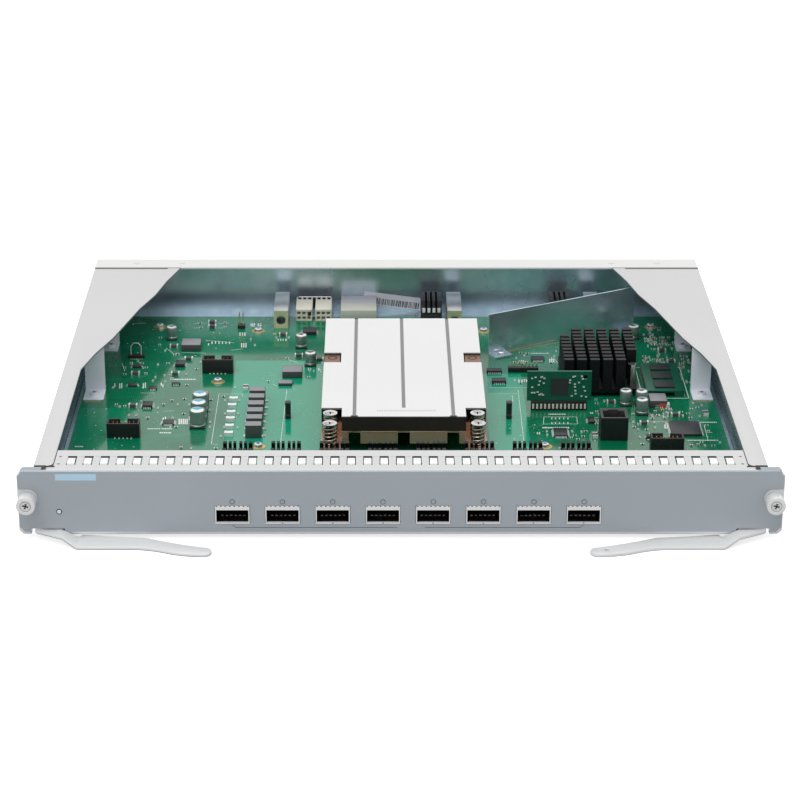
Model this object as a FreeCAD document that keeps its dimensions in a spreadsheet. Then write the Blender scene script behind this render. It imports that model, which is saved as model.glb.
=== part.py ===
import FreeCAD, Part
import Sketcher
import math
import os
from types import SimpleNamespace

# A switch line card that slides into a modular chassis: a sheet tray with a circuit board,
# eight pluggable ports on its front panel, two ejector levers and two captive screws.
# All pieces are drawn from the panel: X is across it, Y = 0 is its front face and Z = 0 its lower edge.
# Each piece's Placement then moves it, so that the origin is under the middle of the card at rest.

SIZES = {
    # front panel, a channel folded from one sheet
    "card_width": 440.0,
    "panel_height": 40.5,
    "panel_sheet": 1.5,
    "panel_flange": 5.6,
    "panel_bend": 2.0,
    "ear_flange": 15.0,
    "ear_corner": 3.0,
    "overlay_sheet": 0.3,
    "overlay_inset": 0.4,
    "overlay_low": 2.2,
    "status_light_inset": 23.5,
    "status_light_z": 15.0,
    # tray and cover
    "body_inset": 9.0,
    "body_end": 367.8,
    "tray_sheet": 1.2,
    "tray_bend": 1.8,
    "tray_gap": 0.6,
    "rear_flange": 17.8,
    "rivet_radius": 2.2,
    "rivet_height": 0.5,
    "rivet_inset": 8.0,
    "rivet_inner_inset": 60.0,
    "rivet_outer_inset": 28.0,
    "cover_top": 40.2,
    "cover_sheet": 1.2,
    "cover_play": 0.2,
    "cover_front": 8.0,
    "cover_strip": 11.0,
    "cover_skirt": 9.0,
    "cover_lip": 3.0,
    "cover_corner": 4.0,
    "cut_start": 158.0,
    "cut_end_inset": 60.0,
    "cut_wave": 0.9,
    "cut_points": 7,
    "cut_swing": 126.0,
    "plug_window_low": 5.0,
    "plug_window_height": 7.5,
    "plug_window_margin": 1.0,
    "guide_pin_hole": 2.2,
    # front rail with the strip of spring fingers
    "rail_sheet": 1.0,
    "rail_top": 39.8,
    "rail_play": 0.4,
    "rail_depth": 31.0,
    "rail_leg": 9.0,
    "finger_count": 41,
    "finger_margin": 25.25,
    "finger_window": 5.3,
    "finger_width": 4.3,
    "finger_window_start": 10.0,
    "finger_window_depth": 12.5,
    "finger_sheet": 0.45,
    "finger_rise": 1.0,
    "finger_shoulder": 0.2,
    "finger_foot_slope": 0.65,
    "finger_play": 0.5,
    "finger_gap": 3.2,
    "finger_slope": 2.6,
    "finger_strip_depth": 3.4,
    "rail_hole_radius": 0.9,
    "rail_hole_inset": 7.6,
    "rail_hole_front": 11.5,
    "rail_hole_rear": 22.0,
    "rail_notch_play": 0.4,
    # main board
    "board_inset": 7.0,
    "board_front": 4.0,
    "board_back": 340.0,
    "board_thickness": 2.0,
    "standoff_height": 4.2,
    "standoff_radius": 3.0,
    "screw_radius": 1.4,
    "screw_head_radius": 2.6,
    "screw_head": 2.4,
    "screw_play": 0.3,
    # port cages and what belongs to them
    "port_count": 8,
    "port_pitch": 28.9,
    "first_port": -96.9,
    "cage_width": 19.7,
    "cage_height": 11.3,
    "cage_length": 50.0,
    "cage_proud": 0.6,
    "cage_sheet": 0.5,
    "mouth_width": 18.5,
    "mouth_height": 7.8,
    "mouth_low": 0.8,
    "bezel_depth": 1.6,
    "cage_window_width": 16.4,
    "cage_window_start": 14.0,
    "cage_window_length": 30.0,
    "window_play": 0.3,
    "socket_width": 16.4,
    "socket_start": 36.0,
    "socket_length": 11.0,
    "socket_height": 8.6,
    "socket_slot_width": 14.0,
    "socket_slot_height": 1.4,
    "socket_slot_depth": 7.0,
    "socket_slot_z": 3.6,
    "sink_width": 17.6,
    "sink_length": 56.0,
    "sink_plate": 2.0,
    "sink_height": 10.2,
    "sink_foot": 1.6,
    "sink_foot_play": 0.4,
    "sink_pin_width": 1.7,
    "sink_column_gap": 1.1,
    "sink_middle_gap": 1.9,
    "sink_pin_length": 3.4,
    "sink_rows": 6,
    "light_height": 21.2,
    "light_radius": 1.2,
    "light_play": 0.15,
    "light_proud": 0.2,
    "light_back": 8.0,
    "light_bar": 2.4,
    # big cooler
    "cooler_x": 2.8,
    "cooler_width": 101.0,
    "cooler_front": 98.3,
    "cooler_back": 268.0,
    "cooler_top": 33.0,
    "cooler_plate": 1.2,
    "fin_thickness": 0.6,
    "fin_count": 34,
    "base_top": 23.3,
    "base_bottom": 15.0,
    "base_ear": 2.0,
    "ear_front": 84.0,
    "corner_notch_width": 12.6,
    "corner_notch_depth": 13.6,
    "side_notch_start": 188.0,
    "side_notch_length": 17.0,
    "side_notch_depth": 11.0,
    "groove_spacing": 30.2,
    "groove_width": 2.2,
    "groove_depth": 0.5,
    "groove_hole_radius": 2.4,
    "middle_groove_start": 112.0,
    "base_slot_width": 7.4,
    "base_slot_depth": 24.0,
    "base_slot_roof": 1.0,
    "cooler_screw_inset": 5.5,
    "cooler_screw_front_inset": 5.0,
    "cooler_screw_rear_inset": 6.9,
    "cooler_screw_radius": 2.0,
    "cooler_screw_top": 32.6,
    "cooler_head_radius": 4.4,
    "cooler_head": 1.8,
    "cooler_spring_radius": 3.5,
    "cooler_spring_wire": 0.65,
    "cooler_spring_turns": 5,
    "sunk_screw_radius": 3.4,
    "sunk_screw_inset": 5.6,
    "chip_width": 52.0,
    "chip_y": 190.0,
    # black pin-fin cooler
    "pin_cooler_x": 107.0,
    "pin_cooler_y": 192.0,
    "pin_cooler_width": 48.0,
    "pin_cooler_depth": 58.0,
    "pin_cooler_height": 25.6,
    "pin_cooler_plate": 3.0,
    "pin_columns": 6,
    "pin_rows": 10,
    "pin_column_gap": 2.3,
    "pin_row_gap": 2.6,
    "small_chip_width": 31.0,
    "small_chip_height": 2.6,
    "pin_screw_radius": 1.2,
    "pin_screw_head_radius": 2.7,
    "pin_screw_height": 13.7,
    "pin_screw_inset": 3.4,
    # air baffle
    "baffle_x": 61.8,
    "baffle_y": 266.0,
    "baffle_end_gap": 11.8,
    "baffle_angle": 28.0,
    "baffle_height": 29.0,
    "baffle_sheet": 1.0,
    "baffle_foot": 9.0,
    "baffle_foot_width": 13.5,
    # brackets at the sides
    "bracket_sheet": 1.2,
    "bracket_width": 13.0,
    "bracket_inset": 14.0,
    "front_bracket_y": 201.0,
    "front_bracket_foot": 16.0,
    "rear_bracket_inset": 15.0,
    "rear_bracket_width": 10.0,
    "rear_bracket_y": 286.0,
    "rear_bracket_foot": 14.0,
    # plug-in boards
    "riser_x": 82.0,
    "riser_y": 171.0,
    "riser_width": 41.0,
    "riser_thickness": 1.6,
    "riser_top": 26.0,
    "riser_socket_height": 5.9,
    "riser_socket_depth": 5.0,
    "riser_pin_count": 14,
    "pin_pitch": 2.54,
    "pin_width": 0.64,
    "riser_chip": 11.0,
    "riser_hole_radius": 1.6,
    "riser_hole_inset": 4.0,
    "riser_pin_height": 3.5,
    "memory_x": 161.0,
    "memory_y": 192.0,
    "memory_width": 24.0,
    "memory_depth": 49.0,
    "memory_lift": 3.0,
    "memory_thickness": 1.2,
    "memory_strip": 6.0,
    "memory_chip_count": 3,
    "memory_chip_width": 13.0,
    "memory_chip_depth": 10.0,
    "memory_chip_height": 1.1,
    "memory_chip_pitch": 15.0,
    # connectors on the board
    "box_header_width": 20.3,
    "box_header_depth": 8.9,
    "box_header_height": 9.8,
    "box_header_wall": 1.1,
    "box_header_floor": 2.6,
    "box_header_key": 4.4,
    "box_header_pins": 6,
    "jack_x": 125.0,
    "jack_y": 120.0,
    "jack_width": 17.0,
    "jack_depth": 16.0,
    "jack_height": 15.3,
    "jack_wall": 1.8,
    "jack_floor": 3.0,
    "jack_key_width": 6.0,
    "clip_width": 3.5,
    "clip_depth": 4.6,
    "clip_height": 11.0,
    "clip_waist": 1.15,
    "clip_waist_low": 2.75,
    "clip_waist_height": 5.5,
    # small parts on the board
    "coil_width": 10.1,
    "coil_depth": 7.0,
    "coil_height": 8.7,
    "coil_pitch": 11.5,
    "coil_count": 6,
    "coil_x": -95.6,
    "coil_y": 124.0,
    "capacitor_base": 1.2,
    # backplane side
    "guide_width": 10.0,
    "guide_length": 34.0,
    "guide_height": 13.4,
    "guide_hole_radius": 3.1,
    "guide_hole_z": 6.1,
    "plug_y": 336.0,
    "power_plug_width": 11.4,
    "power_plug_length": 25.0,
    "power_plug_height": 8.6,
    "power_plug_hole": 2.2,
    "power_plug_pitch": 3.5,
    "power_plug_floor": 1.0,
    "power_plug_hole_depth": 7.4,
    "power_plug_notch_depth": 4.2,
    "wide_plug_x": -39.0,
    "wide_plug_width": 25.0,
    "wide_plug_length": 16.0,
    "wide_plug_height": 6.2,
    "tall_plug_width": 14.5,
    "tall_plug_length": 24.0,
    "tall_plug_height": 13.0,
    "tall_plug_step": 5.0,
    "tall_plug_shelf": 7.0,
    "tall_plug_slots": 3,
    "tall_plug_slot_low": 4.3,
    "tall_plug_pitch": 3.5,
    "tall_plug_slot": 1.4,
    # ejector levers
    "lever_sheet": 2.0,
    "lever_lift": 0.3,
    "handle_drop": 2.6,
    "pivot_inset": 16.0,
    "pivot_y": 6.0,
    "pivot_radius": 3.0,
    "pivot_play": 0.05,
    "pivot_tenon": 2.0,
    "pivot_head_radius": 4.2,
    "pivot_head": 1.0,
    "hub_radius": 6.0,
    "lever_outer_inset": 9.0,
    "nose_end_inset": 4.0,
    "joggle_outer_inset": 25.6,
    "joggle_inner_inset": 34.0,
    "joggle_face": 0.5,
    "handle_front": 15.0,
    "handle_reach": 24.3,
    "handle_tip_inset": 112.0,
    "handle_rear": 2.0,
    "grip_waist": 1.2,
    "grip_waist_x": 19.0,
    "grip_belly_x": 38.0,
    "grip_bend": 60.0,
    "grip_rear_x": 35.0,
    "grip_rear_y": 2.0,
    "grip_rear_bend": 220.0,
    "grip_long_bend": 300.0,
    "shoulder_bend": 12.0,
    "shoulder_x": 1.0,
    "shoulder_inset": 5.0,
    "shoulder_rise": 1.0,
    "lever_corner_x": 1.5,
    "lever_corner_y": 2.0,
    "step_outer_x": 1.0,
    "step_middle_x": 2.0,
    "step_inner_x": 4.0,
    "nose_inset": 3.0,
    "nose_drop": 0.5,
    "nose_high": 3.5,
    "nose_low": 1.0,
    "lever_notch_inner_inset": 26.3,
    "lever_notch_outer_inset": 6.7,
    "lever_notch_top": 4.2,
    "wall_slot_end": 19.5,
    "tip_hole_radius": 1.3,
    "tip_hole_inset": 102.5,
    "tip_hole_y": -18.0,
    # captive screws
    "screw_inset": 6.0,
    "screw_z": 23.6,
    "notch_radius": 5.4,
    "knob_radius": 5.35,
    "knob_reach": 12.2,
    "knob_length": 8.0,
    "knob_end": 1.8,
    "knob_play": 0.25,
    "shank_radius": 2.0,
    "shank_play": 0.06,
    "groove_radius": 1.7,
    "ring_radius": 2.6,
    "ring_width": 1.2,
    "ring_play": 0.05,
    "ring_gap": 0.2,
    "sleeve_radius": 4.0,
    "sleeve_neck": 3.2,
    "sleeve_bore": 2.9,
    "sleeve_reach": 4.5,
    "sleeve_lip": 1.0,
    "screw_spring_radius": 3.2,
    "screw_spring_wire": 0.42,
    "screw_spring_turns": 3,
    "recess_radius": 2.6,
    "recess_depth": 0.6,
    "recess_slot": 0.9,
    "recess_arm": 1.8,
    "recess_ring": 0.5,
}

# The board's width that the places below are drawn for; on another board they spread or close up with it.
LAYOUT_WIDTH = 408.0

# Middles of like pieces on the board, as X and Y.
PLACES = {
    "board_screw": [(-164, 319), (-95.5, 311), (-118, 218), (-87, 111), (90, 111), (60, 311), (176, 319)],
    "box_header": [(-119, 236.5), (-171.5, 128.5), (164.5, 105.5)],
    "clip": [(-70, 157), (70, 157)],
    "guide": [(-80, 333), (40, 333), (136.2, 333)],
    "power_plug": [(-64.5, 343.5), (-51, 343.5)],
    "tall_plug": [(24.3, 343), (114.5, 343)],
}

# Round cans as X, Y, radius and height, and square parts as X, Y, width, depth and height.
CANS = [
    (-126.4, 143, 5, 11.5),
    (-126.4, 156.5, 5, 11.5),
    (-126.4, 170, 5, 11.5),
    (146, 179, 4, 10),
    (156, 178, 4, 10),
    (155, 164, 4, 10),
    (-154, 296.5, 3.75, 9),
    (-65, 281, 4, 9),
    (-58, 248, 4, 9),
    (162, 298, 4, 9),
]
INDUCTORS = [
    (-139.5, 279, 13, 12, 4.7),
    (-69.5, 230, 13, 12, 4.7),
    (-73.6, 213.5, 9, 6.2, 2),
    (-126, 184, 8, 8, 6),
    (166.5, 179.5, 11, 13, 5),
]
CHIPS = [
    (179.5, 137.5, 19, 21, 1.6),
    (-144.8, 247.2, 6.4, 7.5, 2.4),
    (-159.6, 205.5, 5.2, 4.6, 1.2),
    (-160.7, 176, 6.2, 7.2, 2.2),
    (-145.2, 148, 7, 7, 1.3),
    (-173.3, 243.5, 6, 3, 1.4),
    (-173.4, 211, 6, 4.3, 1.3),
    (-145.2, 213.4, 5.6, 3, 1.2),
    (-60, 308, 9.4, 9, 2.6),
    (101, 131.3, 8.4, 12, 1.6),
    (94.2, 257.5, 8.8, 6.4, 1.4),
    (156.8, 125, 5.7, 4, 1.8),
    (121.8, 151, 4.2, 8, 1.8),
    (64.1, 235, 10, 5, 2),
    (66.4, 217, 9.2, 6, 2.2),
]

document = FreeCAD.newDocument("LineCard")
sheet = document.addObject("Spreadsheet::Sheet", "Sizes")


class Size:
    """A size that keeps its formula, so that what is worked out from it stays tied to the sheet."""

    def __init__(self, formula, number):
        self.formula = formula
        self.number = number

    def __add__(self, other):
        other = as_size(other)
        return Size(f"({self.formula} + {other.formula})", self.number + other.number)

    def __sub__(self, other):
        other = as_size(other)
        return Size(f"({self.formula} - {other.formula})", self.number - other.number)

    def __mul__(self, other):
        other = as_size(other)
        return Size(f"({self.formula} * {other.formula})", self.number * other.number)

    def __truediv__(self, other):
        other = as_size(other)
        return Size(f"({self.formula} / {other.formula})", self.number / other.number)

    def __radd__(self, other):
        return as_size(other) + self

    def __rsub__(self, other):
        return as_size(other) - self

    def __rmul__(self, other):
        return as_size(other) * self

    def __neg__(self):
        return Size(f"(0 - {self.formula})", -self.number)


def as_size(value):
    """A size as it is, or a plain number as a size."""
    return value if isinstance(value, Size) else Size(f"({value})", value)


def slanted(run, angle):
    """The length of a sheet that covers a run across the card at an angle in degrees."""
    slope = f"cos({angle.formula} * 1 deg)"
    return Size(f"({run.formula} / {slope})", run.number / math.cos(math.radians(angle.number)))


def write_cell(alias, number):
    """Give the next cell of the sheet a number and a name."""
    write_cell.row += 1
    sheet.set(f"A{write_cell.row}", alias)
    sheet.set(f"B{write_cell.row}", str(number))
    sheet.setAlias(f"B{write_cell.row}", alias)
    return Size(f"Sizes.{alias}", number)


write_cell.row = 0
size = SimpleNamespace(**{alias: write_cell(alias, number) for alias, number in SIZES.items()})

# Widths that follow from the card's own width.
card_half = size.card_width / 2
body_half = card_half - size.body_inset
board_half = body_half - size.board_inset


def across(place):
    """A place across the board, which keeps its share of the board's width."""
    return place * board_half * 2 / LAYOUT_WIDTH


def write_rows(name, rows, columns):
    """Put a list of like parts into the sheet, one name for each number; X keeps its share of the width."""
    written = []
    for count, row in enumerate(rows, start=1):
        cells = [write_cell(f"{name}_{count}_{column}", number) for column, number in zip(columns, row)]
        written.append([across(cells[0])] + cells[1:])
    return written


place = {name: write_rows(name, spots, ("x", "y")) for name, spots in PLACES.items()}


cans = write_rows("can", CANS, ("x", "y", "radius", "height"))
inductors = write_rows("inductor", INDUCTORS, ("x", "y", "width", "depth", "height"))
chips = write_rows("chip", CHIPS, ("x", "y", "width", "depth", "height"))
document.recompute()

# Levels and places that several pieces share.
floor_top = size.tray_sheet
board_bottom = floor_top + size.standoff_height
board_top = board_bottom + size.board_thickness
cover_under = size.cover_top - size.cover_sheet
body_width = body_half * 2
wall_half = body_half - size.cover_sheet - size.cover_play
floor_front = size.panel_flange + size.tray_gap
rear_face = size.body_end - size.tray_sheet
lever_low = floor_top + size.lever_lift
lever_high = lever_low + size.lever_sheet
screw_x = card_half - size.screw_inset
pivot_x = card_half - size.pivot_inset
notch_inner = card_half - size.lever_notch_inner_inset
notch_outer = card_half - size.lever_notch_outer_inset
status_light_x = size.status_light_inset - card_half
finger_pitch = (size.card_width - 2 * size.finger_margin) / size.finger_count
cage_top = board_top + size.cage_height

# The card's own place: the levers' lower faces are at zero, and the origin is under its middle.
shift_y = (size.handle_reach - size.body_end) / 2
shift_z = size.handle_drop

sub_parts = []


def bind(thing, name, value):
    """Tie a property of a piece to the sheet."""
    thing.setExpression(name, as_size(value).formula)


def put(thing, x=0, y=0, z=0):
    """Tie a piece's place to the sheet."""
    bind(thing, "Placement.Base.x", x)
    bind(thing, "Placement.Base.y", y)
    bind(thing, "Placement.Base.z", z)


def keep(thing, label, x=0, y=0, z=0):
    """Name a finished sub-part and set it in the card's own frame."""
    thing.Label = label
    put(thing, x, shift_y + y, shift_z + z)
    sub_parts.append(thing)


def block(x, y, z, length, width, height):
    """A box from its low corner."""
    box = document.addObject("Part::Box", "Block")
    bind(box, "Length", length)
    bind(box, "Width", width)
    bind(box, "Height", height)
    put(box, x, y, z)
    return box


TURNS = {
    "X": FreeCAD.Rotation(FreeCAD.Vector(0, 1, 0), 90),
    "Y": FreeCAD.Rotation(FreeCAD.Vector(1, 0, 0), -90),
    "Z": FreeCAD.Rotation(),
}


def rod(x, y, z, radius, length, axis="Z"):
    """A round rod from the middle of its first end, along an axis."""
    cylinder = document.addObject("Part::Cylinder", "Rod")
    bind(cylinder, "Radius", radius)
    bind(cylinder, "Height", length)
    cylinder.Placement = FreeCAD.Placement(FreeCAD.Vector(), TURNS[axis])
    put(cylinder, x, y, z)
    return cylinder


def joined(pieces):
    """Pieces that are one solid."""
    fuse = document.addObject("Part::MultiFuse", "Joined")
    fuse.Shapes = pieces
    fuse.Refine = True
    return fuse


def cut(base, tools):
    """A piece with others taken out of it."""
    result = document.addObject("Part::Cut", "Cut")
    result.Base = base
    result.Tool = tools[0] if len(tools) == 1 else joined(tools)
    result.Refine = True
    return result


def group(pieces):
    """Separate solids that share one node."""
    compound = document.addObject("Part::Compound", "Group")
    compound.Links = pieces
    return compound


def coil(x, y, z, radius, wire, height, turns, axis="Z"):
    """A square wire wound along an axis; its size is half its diagonal."""
    helix = document.addObject("Part::Helix", "Coil")
    bind(helix, "Radius", radius)
    bind(helix, "Pitch", height / turns)
    bind(helix, "Height", height)
    section = document.addObject("Part::RegularPolygon", "Wire")
    section.Polygon = 4
    bind(section, "Circumradius", wire)
    section.Placement = FreeCAD.Placement(FreeCAD.Vector(), TURNS["Y"])
    bind(section, "Placement.Base.x", radius)
    sweep = document.addObject("Part::Sweep", "Spring")
    sweep.Sections = [section]
    sweep.Spine = (helix, ["Edge1"])
    sweep.Solid = True
    sweep.Frenet = True
    sweep.Placement = FreeCAD.Placement(FreeCAD.Vector(), TURNS[axis])
    put(sweep, x, y, z)
    return sweep


def new_body():
    """An empty body."""
    return document.addObject("PartDesign::Body", "Body")


def sketch_on(body, plane, distance):
    """A sketch parallel to one of a body's own planes."""
    sketch = body.newObject("Sketcher::SketchObject", "Sketch")
    origin_plane = next(item for item in body.Origin.OriginFeatures if item.Role == plane)
    sketch.AttachmentSupport = (origin_plane, [""])
    sketch.MapMode = "FlatFace"
    bind(sketch, "AttachmentOffset.Base.z", distance)
    return sketch


def tie(sketch, kind, *place_and_value):
    """Add a dimension to a sketch and tie it to the sheet."""
    *where, value = place_and_value
    value = as_size(value)
    index = sketch.addConstraint(Sketcher.Constraint(kind, *where, value.number))
    sketch.setExpression(f"Constraints[{index}]", value.formula)


ORIGIN = (-1, 1)


def arc_between(first, last, radius):
    """An arc from first to last, to the left of its chord where the radius is below zero."""
    middle = (first + last) / 2
    chord = last - first
    rise = math.sqrt(radius ** 2 - (chord.Length / 2) ** 2)
    left = FreeCAD.Vector(-chord.y, chord.x) / chord.Length
    centre = middle + left * math.copysign(rise, radius)
    start, end = (first, last) if radius > 0 else (last, first)
    angles = [math.atan2(point.y - centre.y, point.x - centre.x) for point in (start, end)]
    circle = Part.Circle(centre, FreeCAD.Vector(0, 0, 1), abs(radius))
    return Part.ArcOfCircle(circle, *angles)


def draw_outline(sketch, corners):
    """A closed outline. A corner is X, Y, and the radius of the side after it where that is an arc."""
    corners = [[as_size(value) for value in corner] for corner in corners]
    points = [FreeCAD.Vector(corner[0].number, corner[1].number) for corner in corners]
    first_index = sketch.GeometryCount
    ends = []
    for number, corner in enumerate(corners):
        first, last = points[number], points[(number + 1) % len(points)]
        if len(corner) > 2:
            side = sketch.addGeometry(arc_between(first, last, corner[2].number))
            ends.append((1, 2) if corner[2].number > 0 else (2, 1))
        else:
            side = sketch.addGeometry(Part.LineSegment(first, last))
            ends.append((1, 2))
    for number, corner in enumerate(corners):
        side = first_index + number
        following = (number + 1) % len(corners)
        join = Sketcher.Constraint(
            "Coincident", side, ends[number][1], first_index + following, ends[following][0]
        )
        sketch.addConstraint(join)
        tie(sketch, "DistanceX", *ORIGIN, side, ends[number][0], corner[0])
        tie(sketch, "DistanceY", *ORIGIN, side, ends[number][0], corner[1])
        if len(corner) > 2:
            positive = corner[2] if corner[2].number > 0 else -corner[2]
            tie(sketch, "Radius", side, positive)


def draw_circle(sketch, x, y, radius):
    """A circle."""
    x, y, radius = as_size(x), as_size(y), as_size(radius)
    centre = FreeCAD.Vector(x.number, y.number)
    index = sketch.addGeometry(Part.Circle(centre, FreeCAD.Vector(0, 0, 1), radius.number))
    tie(sketch, "DistanceX", *ORIGIN, index, 3, x)
    tie(sketch, "DistanceY", *ORIGIN, index, 3, y)
    tie(sketch, "Radius", index, radius)


def rectangle(x, y, width, height):
    """The corners of a rectangle from its low corner."""
    x, y = as_size(x), as_size(y)
    return [(x, y), (x + width, y), (x + width, y + height), (x, y + height)]


def feature(body, kind, sketch, length):
    """Pad or pocket a sketch."""
    result = body.newObject(f"PartDesign::{kind}", kind)
    result.Profile = sketch
    result.Type = "Length"
    bind(result, "Length", length)
    body.Tip = result
    return result


def draw_shape(sketch, shape):
    """A circle, given as X, Y and radius, or else an outline."""
    if len(shape) == 3 and not isinstance(shape[0], tuple):
        draw_circle(sketch, *shape)
    else:
        draw_outline(sketch, shape)


def pad(body, plane, shape, start, length):
    """Add a shape's solid, from start along the axis that the plane faces."""
    flipped = plane == "XZ_Plane"
    sketch = sketch_on(body, plane, -(as_size(start) + length) if flipped else start)
    draw_shape(sketch, shape)
    return feature(body, "Pad", sketch, length)


def pocket(body, plane, shapes, start, length):
    """Cut outlines and circles out of a body, from start along the axis that the plane faces."""
    flipped = plane == "XZ_Plane"
    sketch = sketch_on(body, plane, -as_size(start) if flipped else as_size(start) + length)
    for shape in shapes:
        draw_shape(sketch, shape)
    return feature(body, "Pocket", sketch, length)


def repeat(body, original, axis, pitch, count):
    """Repeat a feature along its sketch's own axis."""
    pattern = body.newObject("PartDesign::LinearPattern", "Row")
    pattern.Originals = [original]
    pattern.Direction = (original.Profile[0], [axis])
    bind(pattern, "Length", pitch * (count - 1))
    bind(pattern, "Occurrences", count)
    body.Tip = pattern
    return pattern


def port_x(number):
    """The middle of a port, counted from zero."""
    return size.first_port + size.port_pitch * number


def ports():
    """The ports' numbers, from zero."""
    return range(int(size.port_count.number))


# Front panel


def make_front_panel():
    """The folded channel, with its port windows, light holes, screw holes and lever notches."""
    body = new_body()
    sheet_in = size.panel_sheet
    inner_bend = size.panel_bend - sheet_in
    top = size.panel_height
    deep = size.panel_flange
    channel = [
        (size.panel_bend, 0),
        (deep, 0),
        (deep, sheet_in),
        (size.panel_bend, sheet_in, -inner_bend),
        (sheet_in, size.panel_bend),
        (sheet_in, top - size.panel_bend, -inner_bend),
        (size.panel_bend, top - sheet_in),
        (deep, top - sheet_in),
        (deep, top),
        (size.panel_bend, top, size.panel_bend),
        (0, top - size.panel_bend),
        (0, size.panel_bend, size.panel_bend),
    ]
    pad(body, "YZ_Plane", channel, -card_half, size.card_width)
    between_ears = size.card_width - 2 * size.ear_flange
    top_gap = rectangle(sheet_in, top - size.panel_bend, deep, size.panel_bend + 1)
    pocket(body, "YZ_Plane", [top_gap], -between_ears / 2, between_ears)
    window = rectangle(
        port_x(0) - size.cage_width / 2 - size.window_play,
        board_top - size.window_play,
        size.cage_width + 2 * size.window_play,
        size.cage_height + 2 * size.window_play,
    )
    through = sheet_in + 2
    opening = pocket(body, "XZ_Plane", [window], -1, through)
    repeat(body, opening, "H_Axis", size.port_pitch, size.port_count)
    light_hole = size.light_radius + size.light_play
    opening = pocket(body, "XZ_Plane", [(port_x(0), size.light_height, light_hole)], -1, through)
    repeat(body, opening, "H_Axis", size.port_pitch, size.port_count)
    holes = [(status_light_x, size.status_light_z, light_hole)]
    for side in (-1, 1):
        holes.append((side * screw_x, size.screw_z, size.sleeve_neck))
    pocket(body, "XZ_Plane", holes, -1, through)
    notch_width = notch_outer - notch_inner
    edge = card_half
    cuts = []
    for side in (-1, 1):
        low_x = notch_inner if side > 0 else -notch_outer
        cuts.append(rectangle(low_x, -1, notch_width, size.lever_notch_top + 1))
        for low, high in ((0, size.ear_corner), (top, top - size.ear_corner)):
            cuts.append([(side * edge, low), (side * edge, high), (side * (edge - size.ear_corner), low)])
    pocket(body, "XZ_Plane", cuts, -1, deep + 2)
    keep(body, "front_panel")


def make_face_overlay():
    """The thin overlay on the panel's face."""
    body = new_body()
    half = card_half - size.overlay_inset
    top = size.panel_height - size.overlay_inset
    corner = size.ear_corner
    notch_low = size.screw_z - size.notch_radius
    notch_high = size.screw_z + size.notch_radius
    outline = [
        (-half + corner, size.overlay_low),
        (-notch_outer, size.overlay_low),
        (-notch_outer, size.lever_notch_top),
        (-notch_inner, size.lever_notch_top),
        (-notch_inner, size.overlay_low),
        (notch_inner, size.overlay_low),
        (notch_inner, size.lever_notch_top),
        (notch_outer, size.lever_notch_top),
        (notch_outer, size.overlay_low),
        (half - corner, size.overlay_low),
        (half, size.overlay_low + corner),
        (half, notch_low),
        (screw_x, notch_low, -size.notch_radius),
        (screw_x - size.notch_radius, size.screw_z, -size.notch_radius),
        (screw_x, notch_high),
        (half, notch_high),
        (half, top - corner),
        (half - corner, top),
        (-half + corner, top),
        (-half, top - corner),
        (-half, notch_high),
        (-screw_x, notch_high, -size.notch_radius),
        (-screw_x + size.notch_radius, size.screw_z, -size.notch_radius),
        (-screw_x, notch_low),
        (-half, notch_low),
        (-half, size.overlay_low + corner),
    ]
    pad(body, "XZ_Plane", outline, -size.overlay_sheet, size.overlay_sheet)
    window = rectangle(
        port_x(0) - size.cage_width / 2 - size.window_play,
        board_top - size.window_play,
        size.cage_width + 2 * size.window_play,
        size.cage_height + 2 * size.window_play,
    )
    opening = pocket(body, "XZ_Plane", [window], -1, 2)
    repeat(body, opening, "H_Axis", size.port_pitch, size.port_count)
    light_hole = size.light_radius + size.light_play
    opening = pocket(body, "XZ_Plane", [(port_x(0), size.light_height, light_hole)], -1, 2)
    repeat(body, opening, "H_Axis", size.port_pitch, size.port_count)
    pocket(body, "XZ_Plane", [(status_light_x, size.status_light_z, light_hole)], -1, 2)
    keep(body, "face_overlay")


# Tray and cover


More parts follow.
